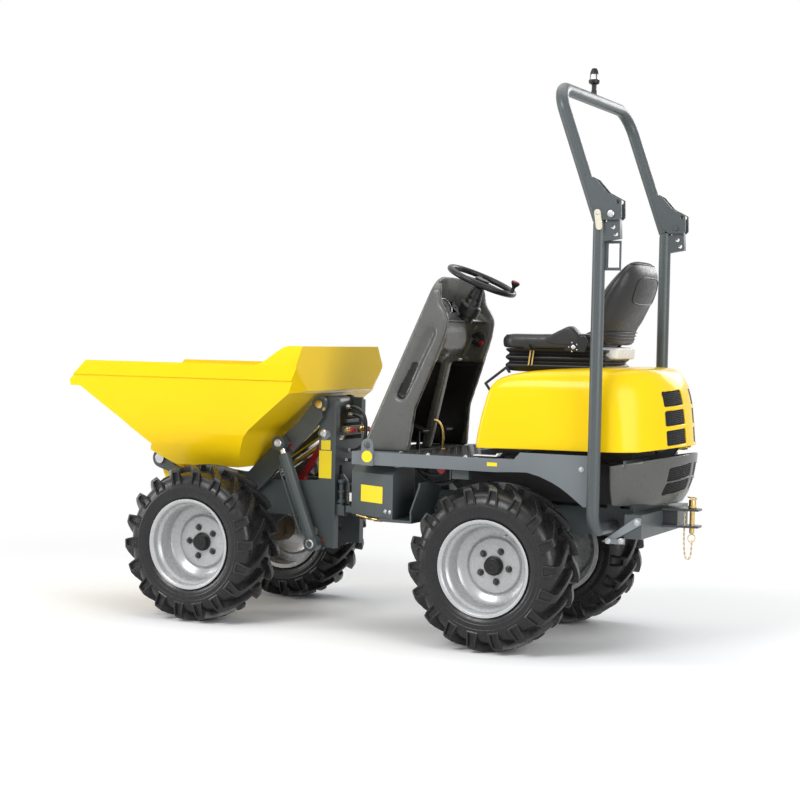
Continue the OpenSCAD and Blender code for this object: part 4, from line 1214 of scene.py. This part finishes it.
@part("column_collar", "black_plastic", "rear_chassis", width=1.5, both=False)
def column_collar(bm):
    lathe(bm, HUB, TILT, [(36, -176), (47, -172), (49, -160), (49, -128), (45, -122), (38, -118), (36, -100),
                          (33, -96), (33, -78), (30, -74), (28, -52), (24, -44)], 32)
    stalk = [HUB - TILT * down + Vector(off)
             for down, off in ((140, (0, 40, 0)), (128, (-8, 90, 0)), (112, (-20, 150, 0)))]
    sweep(bm, smooth_path(stalk), 6, 10)
    lathe(bm, HUB - TILT * 112 + Vector((-20, 148, 0)), (-0.3, 1, 0.2),
          [(6, -3), (9, 0), (9, 22), (6, 26)], 16)
    lathe(bm, HUB - TILT * 148, (0.2, -1, 0), [(20, 30), (22, 44), (22, 66), (14, 70)], 20)


@part("spinner", "black_plastic", "steering_wheel", width=0.8, both=False)
def spinner(bm):
    lathe(bm, KNOB + TILT * 14, TILT, [(9, 0), (8.5, 10), (8, 20), (11, 27), (18, 36), (20.5, 42), (20.5, 47),
                                       (18, 50.5)], 24)


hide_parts("spinner_knob")


@part("spinner_cap", "red_paint", "steering_wheel", 0.4, both=False)
def spinner_cap(bm):
    lathe(bm, KNOB + TILT * 62.5, TILT, [(18.5, 0), (18.8, 1.5), (17, 3.2), (9, 3.8)], 24)


@part("floor_lever", "brass_pin", "rear_chassis", width=0.8, both=False)
def floor_lever(bm):
    path = [(430, 60, 828), (424, 62, 880), (430, 66, 930), (448, 74, 958), (462, 84, 962)]
    sweep(bm, smooth_path(path), 6.5, 12)
    lathe(bm, (430, 60, 826), UP, [(15, 0), (15, 6), (9, 9)], 20)


# Rear cover: three leaning tails met with rounded edges, open at its top, front and bottom.

GRILLES = [(757, 815, 1), (757, 815, -1), (698, 748, 1), (698, 748, -1)]


def cover_level(p):
    return blend_max([tail_level(p, -745.0, 0.0, 842.0), tail_level(p, -743.0, -17.0, 760.0),
                      tail_level(p, -720.0, -39.0, 684.0)], 16.0)


def cover_form():
    bm = bmesh.new()
    turns = np.radians(np.linspace(-90, 90, 121))
    way = np.column_stack((-np.cos(turns) * 0.62, np.sin(turns), np.zeros(len(turns))))
    way /= np.linalg.norm(way, axis=1)[:, None]
    loops = []
    for z in np.concatenate((np.linspace(646, 700, 7), np.linspace(712, 872, 15))):
        mid = np.array((-497.0, 0.0, z))
        loops.append([bm.verts.new(p) for p in reach(cover_level, mid, way, 600)])
    skin(bm, loops, False)
    trimmed(bm, (-640, 0, 842), (-0.184, 0, -0.983))
    bmesh.ops.recalc_face_normals(bm, faces=bm.faces)
    if sum(f.normal.x for f in bm.faces) > 0:
        bmesh.ops.reverse_faces(bm, faces=bm.faces)
    return bm


grille_cuts = [opening_outline(GRILLE, z0, z1, side) for z0, z1, side in GRILLES]
shell_piece("cover_shell", cover_form(), 0.008, grille_cuts, -840, -590, "dark_plastic", "rear_chassis",
            "rear_cover")


@part("cover_mesh", "mesh_black", "rear_chassis", width=0, both=False)
def cover_mesh(bm):
    for z0, z1, side in GRILLES:
        bars = np.linspace(z0, z1, 8)
        # heights of the dark sheet behind the bars: painted shade inside the grille
        shade_sheet = np.linspace(z0 - 6, z1 + 6, 6)
        woven(bm, cover_level, GRILLE, (z0, z1), side, 23, 6, bars, 10, 1.9, (shade_sheet, 11.0))


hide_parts("rear_grilles")


# Roll hoop: pads that close the joint, levers, pins, a reflector, straps and the lamp on its post.


@part("joint_pads", "grey_paint", "rear_chassis")
def joint_pads(bm):
    low = ring(bm, (-449, 457, 1820), Vector((1, 0, 0)), Vector(LEFT), 26.5, 32)
    high = [bm.verts.new((v.co.x, v.co.y, 1841 - 0.354 * (v.co.x + 445.7))) for v in low]
    skin(bm, [low, high])
    bm.faces.new(low)
    bm.faces.new(high)


@part("hoop_levers", "bone_paint", "roll_hoop", 1.5)
def hoop_levers(bm):
    """A flat lever with round ends on the joint's outer plate."""
    top = Vector((-450, 1872))
    low = Vector((-459, 1814))
    r = 14.0
    way = math.atan2(top.y - low.y, top.x - low.x)
    pts = []
    for end, turn in ((top, -math.pi / 2), (low, math.pi / 2)):
        for k in range(11):
            a = way + turn + math.pi * k / 10
            pts.append((end.x + r * math.cos(a), end.y + r * math.sin(a)))
    prism(bm, pts, "y", 487, 494)


@part("hoop_pins", "steel_pin", "roll_hoop", width=0.8)
def hoop_pins(bm):
    lathe(bm, (-508, 486, 1866), LEFT, [(15, 0), (15, 8), (12, 10), (12, 12), (7, 13)], 24)
    lathe(bm, (-451, 493, 1868), LEFT, [(6, 0), (6, 4), (4, 5.5)], 16)


@part("reflector_plate", "grey_paint", "rear_chassis", width=1.2, both=False)
def reflector_plate(bm):
    brick(bm, -545, -466, 449, 454, 1634, 1757)


@part("reflector", "white_plate", "rear_chassis", 0.8, both=False)
def reflector(bm):
    brick(bm, -537, -491, 453.5, 457, 1646, 1745)


@part("post_straps", "light_grey_paint", "rear_chassis")
def post_straps(bm):
    """A strap from a post's foot to the end of the cross beam."""
    prism(bm, [(-452, 492), (-480, 486), (-624, 572), (-624, 600), (-600, 602)], "y", 339, 346)
    prism(bm, [(-556, 486), (-556, 512), (-470, 500), (-470, 484)], "y", 346, 351)


@part("foot_bolts", "steel_pin", "rear_chassis", width=0.6)
def foot_bolts(bm):
    for place in ((-482, 350, 497), (-540, 350, 500), (-606, 345, 582)):
        bolt(bm, place, LEFT, 9, 8)


LAMP = (-247.0, 0.0, 2434.0)


@part("lamp_housing", "black_plastic", "roll_hoop", width=0.8, both=False)
def lamp_housing(bm):
    lathe(bm, LAMP, UP,
          [(13, -3), (13, 14), (11, 16), (11, 40), (15, 42), (23, 46), (25, 52), (25, 60), (22, 63)], 32)
    lathe(bm, LAMP, UP, [(19, 86), (19, 92), (15, 104), (11, 112), (5, 113.5)], 32)
    # four bars around the lens
    for k in range(4):
        a = math.radians(45 + 90 * k)
        bar = [(LAMP[0] + r * math.cos(a), r * math.sin(a), LAMP[2] + z)
               for r, z in ((20.5, 61), (17.5, 88))]
        sweep(bm, bar, 2.6, 8)


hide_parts("beacon")


@part("lamp_lens", "lamp_clear", "roll_hoop", width=0.5, both=False)
def lamp_lens(bm):
    lathe(bm, LAMP, UP, [(19.5, 62), (20.5, 64), (19, 76), (17, 86), (15, 88)], 32)


# Hitch: pin head with a ring, spring clip and chain.


@part("hitch_pin_head", "brass_pin", "rear_chassis", width=0.8, both=False)
def hitch_pin_head(bm):
    sweep(bm, loop_path((-744, 0, 668), (20, 0, 4), (0, 18, 0), 24), 2.6, 8, closed=True)
    lathe(bm, (-744, 0, 648), UP, [(16.5, -26), (18.5, -24), (18.5, -16), (15.6, -14), (15.6, 8), (13, 12.5),
                                   (6, 13)], 28)


@part("hitch_clip", "brass_pin", "rear_chassis", width=0.8, both=False)
def hitch_clip(bm):
    lathe(bm, (-744, 0, 519), UP, [(7, -7), (10.8, -4), (11.4, 2), (11.4, 6)], 24)
    sweep(bm, loop_path((-744, 2, 492), (16, 0, 0), (0, 4.8, -17), 28), 2.2, 8, closed=True)
    sweep(bm, [(-744, -18, 523), (-744, 18, 523)], 3.4, 10)


CHAIN = smooth_path([(-716, 16, 624), (-716, 19, 606), (-716, 21, 540), (-717, 21, 470), (-722, 18, 416),
                     (-733, 13, 400), (-743, 8, 416), (-746, 5, 450), (-746, 3, 478)], 4)
CHAIN_LINE = 3.2
LINK_STEP = 10.5


def run_of(path):
    """Length along a path up to each of its points."""
    run = [0.0]
    for p, q in zip(path, path[1:]):
        run.append(run[-1] + (q - p).length)
    return run


@part("chain_links", "chain_gold", "rear_chassis", 0, both=False)
def chain_links(bm):
    run = run_of(CHAIN)
    count = round(run[-1] / LINK_STEP)
    for i in range(count + 1):
        s = run[-1] * min(i / count, 0.9999)
        k = min(max(j for j in range(len(run)) if run[j] <= s), len(CHAIN) - 2)
        c = CHAIN[k].lerp(CHAIN[k + 1], (s - run[k]) / (run[k + 1] - run[k]))
        along, u, v = frame_of(CHAIN[k + 1] - CHAIN[k])
        sweep(bm, loop_path(c, along * 7.4, (v if i % 2 else u) * 3.4, 14), 1.2, 6, closed=True)


@part("hitch_chain", "chain_gold", "rear_chassis", 0, both=False)
def hitch_chain(bm):
    sweep(bm, CHAIN, CHAIN_LINE / 2, 8)


# Blank labels; what the labels say is left off.


def box_face(x):
    """Distance of the slanted box face from the middle plane."""
    return 300 + (769 - x) * 120 / 268


def label(name, front, rear, z0, z1, body="rear_chassis"):
    """A thin plate on a side face, from the x and y of its front end to those of its rear end."""
    bm = bmesh.new()
    p = [Vector((*end, z)) for end, z in ((front, z0), (rear, z0), (rear, z1), (front, z1))]
    n = (p[1] - p[0]).cross(p[3] - p[0]).normalized()
    loops = [[bm.verts.new(q + n * lift) for q in p] for lift in (-1.0, 1.0)]
    skin(bm, loops)
    bm.faces.new(loops[0])
    bm.faces.new(loops[1])
    piece(name, bm, "label_yellow", body, 0.5)


label("mast_label_top", (1024, 130), (974, 130), 802, 848, "front_chassis")
label("mast_label_low", (1034, 130), (967, 130), 667, 798, "front_chassis")
label("box_label", (706, box_face(706)), (566, box_face(566)), 593, 669)
label("beam_label", (42, 440), (-5, 440), 793, 809)


@part("lashing_label", "label_yellow", "rear_chassis", 0.4, both=False)
def lashing_label(bm):
    lathe(bm, (618, 449.5, 806), LEFT, [(26, 0), (26, 1.6), (24, 2.2), (6, 2.2)], 40)


# Bolts, mat and small plates on the deck, the boxes and the fenders.


@part("deck_bolts", "steel_pin", "rear_chassis", width=0.5)
def deck_bolts(bm):
    bolt(bm, (-388, 440, 800), LEFT, 8, 7)
    for x in (516, 545):
        bolt(bm, (x, box_face(x) + 1, 560), (120, 268, 0), 7, 6)
    for x, y in ((505, 330), (150, 425), (330, 425)):
        bolt(bm, (x, y, 826), UP, 8, 6)


@part("deck_mat", "hose_rubber", "rear_chassis", 0.6, both=False)
def deck_mat(bm):
    """A sheet with rows of staggered studs."""
    outline = [(116, -424), (468, -424), (468, -330), (452, -322), (452, 322), (468, 330), (468, 424),
               (116, 424)]
    prism(bm, outline, "z", 825.5, 829)
    for i in range(9):
        for k in range(21):
            x = 140 + 36 * i + 18 * (k % 2)
            if x < 440:
                lathe(bm, (x, -400 + 40 * k, 828.5), UP, [(9, 0), (9, 1.4), (7.5, 2.4), (3, 2.5)], 10)


@part("sill_plate", "white_plate", "rear_chassis", 0.8, both=False)
def sill_plate(bm):
    prism(bm, [(112, 838), (10, 838), (2, 848), (-6, 848), (4, 834), (112, 834)], "y", 384, 428)


@part("deck_plug", "white_plate", "rear_chassis", 1.5, both=False)
def deck_plug(bm):
    brick(bm, 640, 700, 408, 428, 770, 792)
    lathe(bm, (630, 418, 781), REAR, [(8, -12), (8, 0), (6, 4), (6, 16)], 14)


@part("wheel_liners", "mesh_black", "rear_chassis")
def wheel_liners(bm):
    """Liner between the frame and a rear wheel."""
    prism(bm, [(-470, 640), (-470, 814), (300, 814), (300, 700), (240, 640)], "y", 236, 241)


# Mast: hinge pins, pin heads, grease caps, fittings, pipes and hoses.


@part("hinge_pins", "grey_paint", "front_chassis")
def hinge_pins(bm):
    """Pin with collars behind a mast plate."""
    lathe(bm, (918, 116, 536), UP,
          [(12, 0), (12, 18), (19, 20), (19, 34), (12, 36), (12, 66), (17, 68), (17, 78),
                                    (12, 80), (12, 112), (19, 114), (19, 128), (9, 130)], 24)


@part("hinge_blocks", "grey_paint", "front_chassis", width=2.0)
def hinge_blocks(bm):
    """The block and the plate that carry a hinge pin."""
    prism(bm, [(896, 496), (940, 496), (940, 552), (896, 540)], "y", 92, 130)
    prism(bm, [(884, 548), (940, 548), (940, 690), (920, 690), (884, 640)], "y", 88, 98)


@part("arm_pin_caps", "brass_pin", "lift_arm", width=0.8)
def arm_pin_caps(bm):
    lathe(bm, (1024, 163, 1016), LEFT, [(20, 0), (20, 3), (13, 6), (6, 6.5)], 28)
    bolt(bm, (1000, 156, 996), LEFT, 6, 6)


@part("tip_pin_caps", "steel_pin", "tip_pin", width=0.8)
def tip_pin_caps(bm):
    lathe(bm, (1013, 134.5, 879), LEFT, [(20, 0), (20, 4), (14, 7), (6, 7.5)], 28)


@part("tip_keepers", "light_grey_paint", "front_chassis", 0.8)
def tip_keepers(bm):
    prism(bm, [(1006, 843), (972, 871), (976, 887), (990, 893), (1013, 905), (1040, 886), (1040, 872)],
          "y", 129.5, 133)
    bolt(bm, (981, 133, 880), LEFT, 6, 6)


@part("lift_eye_pins", "steel_pin", "lift_rods", width=0.8)
def lift_eye_pins(bm):
    lathe(bm, (1210, 215, 828), LEFT, [(20, 0), (20, 5), (17, 8), (13, 8), (12, 5), (4, 5)], 28)


@part("lift_foot_pins", "steel_pin", "front_chassis", width=0.8)
def lift_foot_pins(bm):
    lathe(bm, (1028, 216, 362), LEFT, [(22, 0), (22, 8), (18, 11), (13, 11), (12, 8), (4, 8)], 28)


@part("ram_pipes", "grey_paint", "front_chassis", width=0.8)
def ram_pipes(bm):
    """A steel pipe along a lift cylinder, from its foot to the port near its head."""
    along = Vector((0.3638, 0, 0.9315))
    out = Vector((0.9315, 0, -0.3638))
    foot = Vector((1028, 199, 362))
    bends = ((58, 27), (62, 40), (80, 43), (230, 43), (372, 43), (390, 40), (394, 26))
    sweep(bm, smooth_path([foot + along * a + out * b for a, b in bends], 5), 5, 10)
    for a in (60, 393):
        lathe(bm, foot + along * a + out * 22, out, [(11, 0), (11, 9), (8, 12)], 6)


def grease_cap(bm, place, axis=LEFT):
    lathe(bm, place, axis, [(6, 0), (6, 6), (4, 9)], 14)


@part("grease_caps", "red_paint", "front_chassis", 0.5)
def grease_caps(bm):
    grease_cap(bm, (1062, 196, 398), (0.6, 0.6, 0.5))
    grease_cap(bm, (1004, 131, 372))


@part("arm_grease_caps", "red_paint", "lift_arm", 0.5)
def arm_grease_caps(bm):
    grease_cap(bm, (1178, 156, 826))
    grease_cap(bm, (1168, 156, 806))


@part("tip_prop", "red_paint", "front_chassis", 2.0, both=False)
def tip_prop(bm):
    prism(bm, [(1222, 640), (1188, 640), (1072, 800), (1100, 818)], "y", -14, 14)
    prism(bm, [(1200, 590), (1176, 590), (1176, 660), (1214, 660)], "y", -22, 22)


@part("hose_unions", "brass_pin", "front_chassis", width=0.6)
def hose_unions(bm):
    """Unions of the valve bank behind the mast, and two near the front axle."""
    for y in (84, 58):
        lathe(bm, (930, y, 893), (-1, 0, 0.1),
              [(11, -14), (11, 6), (14, 8), (14, 20), (9, 22), (9, 34), (12, 36),
                                                (12, 46), (7, 48)], 20)
    lathe(bm, (1100, 60, 452), (-0.3, 0.9, 0.2),
          [(9, -20), (9, 10), (13, 12), (13, 24), (8, 26), (8, 60)], 18)
    lathe(bm, (1130, 60, 432), (-0.2, 0.9, 0.3),
          [(8, -20), (8, 10), (12, 12), (12, 22), (7, 24), (7, 52)], 18)


@part("union_caps", "red_paint", "front_chassis", 0.6)
def union_caps(bm):
    for y in (84, 58):
        lathe(bm, (884, y, 897), (-1, 0, 0.1), [(13, -6), (13, 4), (10, 7)], 20)
    lathe(bm, (1082, 112, 464), (-0.3, 0.9, 0.2), [(10, 0), (10, 5), (7, 7)], 18)


@part("valve_bank", "grey_paint", "front_chassis", width=2.0, both=False)
def valve_bank(bm):
    brick(bm, 916, 936, -96, 96, 872, 915)
    brick(bm, 924, 936, -60, 60, 930, 946)


def hose(name, points, d, body):
    path = smooth_path(points, 4)
    obj = piece(name, drawn(lambda bm: sweep(bm, path, d / 2, 12)), "hose_rubber", body, 0)


hose("mast_hose_a", [(936, 34, 1004), (896, 35, 1004), (856, 37, 984), (836, 40, 940), (834, 42, 885),
                     (842, 44, 828), (866, 46, 780), (900, 46, 756), (936, 46, 750)], 15, "front_chassis")
hose("mast_hose_b", [(936, 12, 966), (900, 12, 966), (866, 14, 948), (848, 16, 908), (848, 17, 868),
                     (866, 18, 824), (898, 18, 802), (936, 18, 796)], 15, "front_chassis")


@part("mast_ports", "steel_pin", "front_chassis", width=0.6, both=False)
def mast_ports(bm):
    for y, z in ((34, 1004), (12, 966), (46, 750), (18, 796)):
        lathe(bm, (938, y, z), REAR, [(12, -4), (12, 6), (10, 8), (9, 18)], 6)


# Under the deck: hoses, the tank's cap and a pipe along the box.
hose("deck_hose_a", [(446, 300, 800), (436, 302, 772), (408, 306, 744), (356, 312, 728), (300, 308, 742),
                     (270, 302, 772), (260, 300, 800)], 14, "rear_chassis")
hose("deck_hose_b", [(474, 270, 800), (464, 271, 764), (430, 272, 718), (372, 274, 690), (310, 268, 692),
                     (252, 262, 722), (226, 259, 766), (220, 258, 800)], 16, "rear_chassis")


@part("deck_hose_ends", "brass_pin", "rear_chassis", width=0.6, both=False)
def deck_hose_ends(bm):
    for x, y in ((446, 300), (260, 300), (474, 270), (220, 258)):
        lathe(bm, (x, y, 794), UP, [(10, -16), (10, -4), (13, -2), (13, 22)], 6)


@part("tank_cap", "red_paint", "rear_chassis", 0.8, both=False)
def tank_cap(bm):
    lathe(bm, (300, 330, 760), LEFT, [(16, -30), (16, 0), (20, 2), (20, 18), (14, 20)], 24)


@part("box_pipe", "brass_pin", "rear_chassis", width=0.5, both=False)
def box_pipe(bm):
    sweep(bm, smooth_path([(740, 300, 526), (660, 322, 516), (580, 350, 514), (505, 372, 516)], 5), 6, 10)
    for place in ((660, 322, 516), (600, 343, 514)):
        lathe(bm, place, (-0.9, 0.4, 0), [(9, -12), (9, 12)], 6)
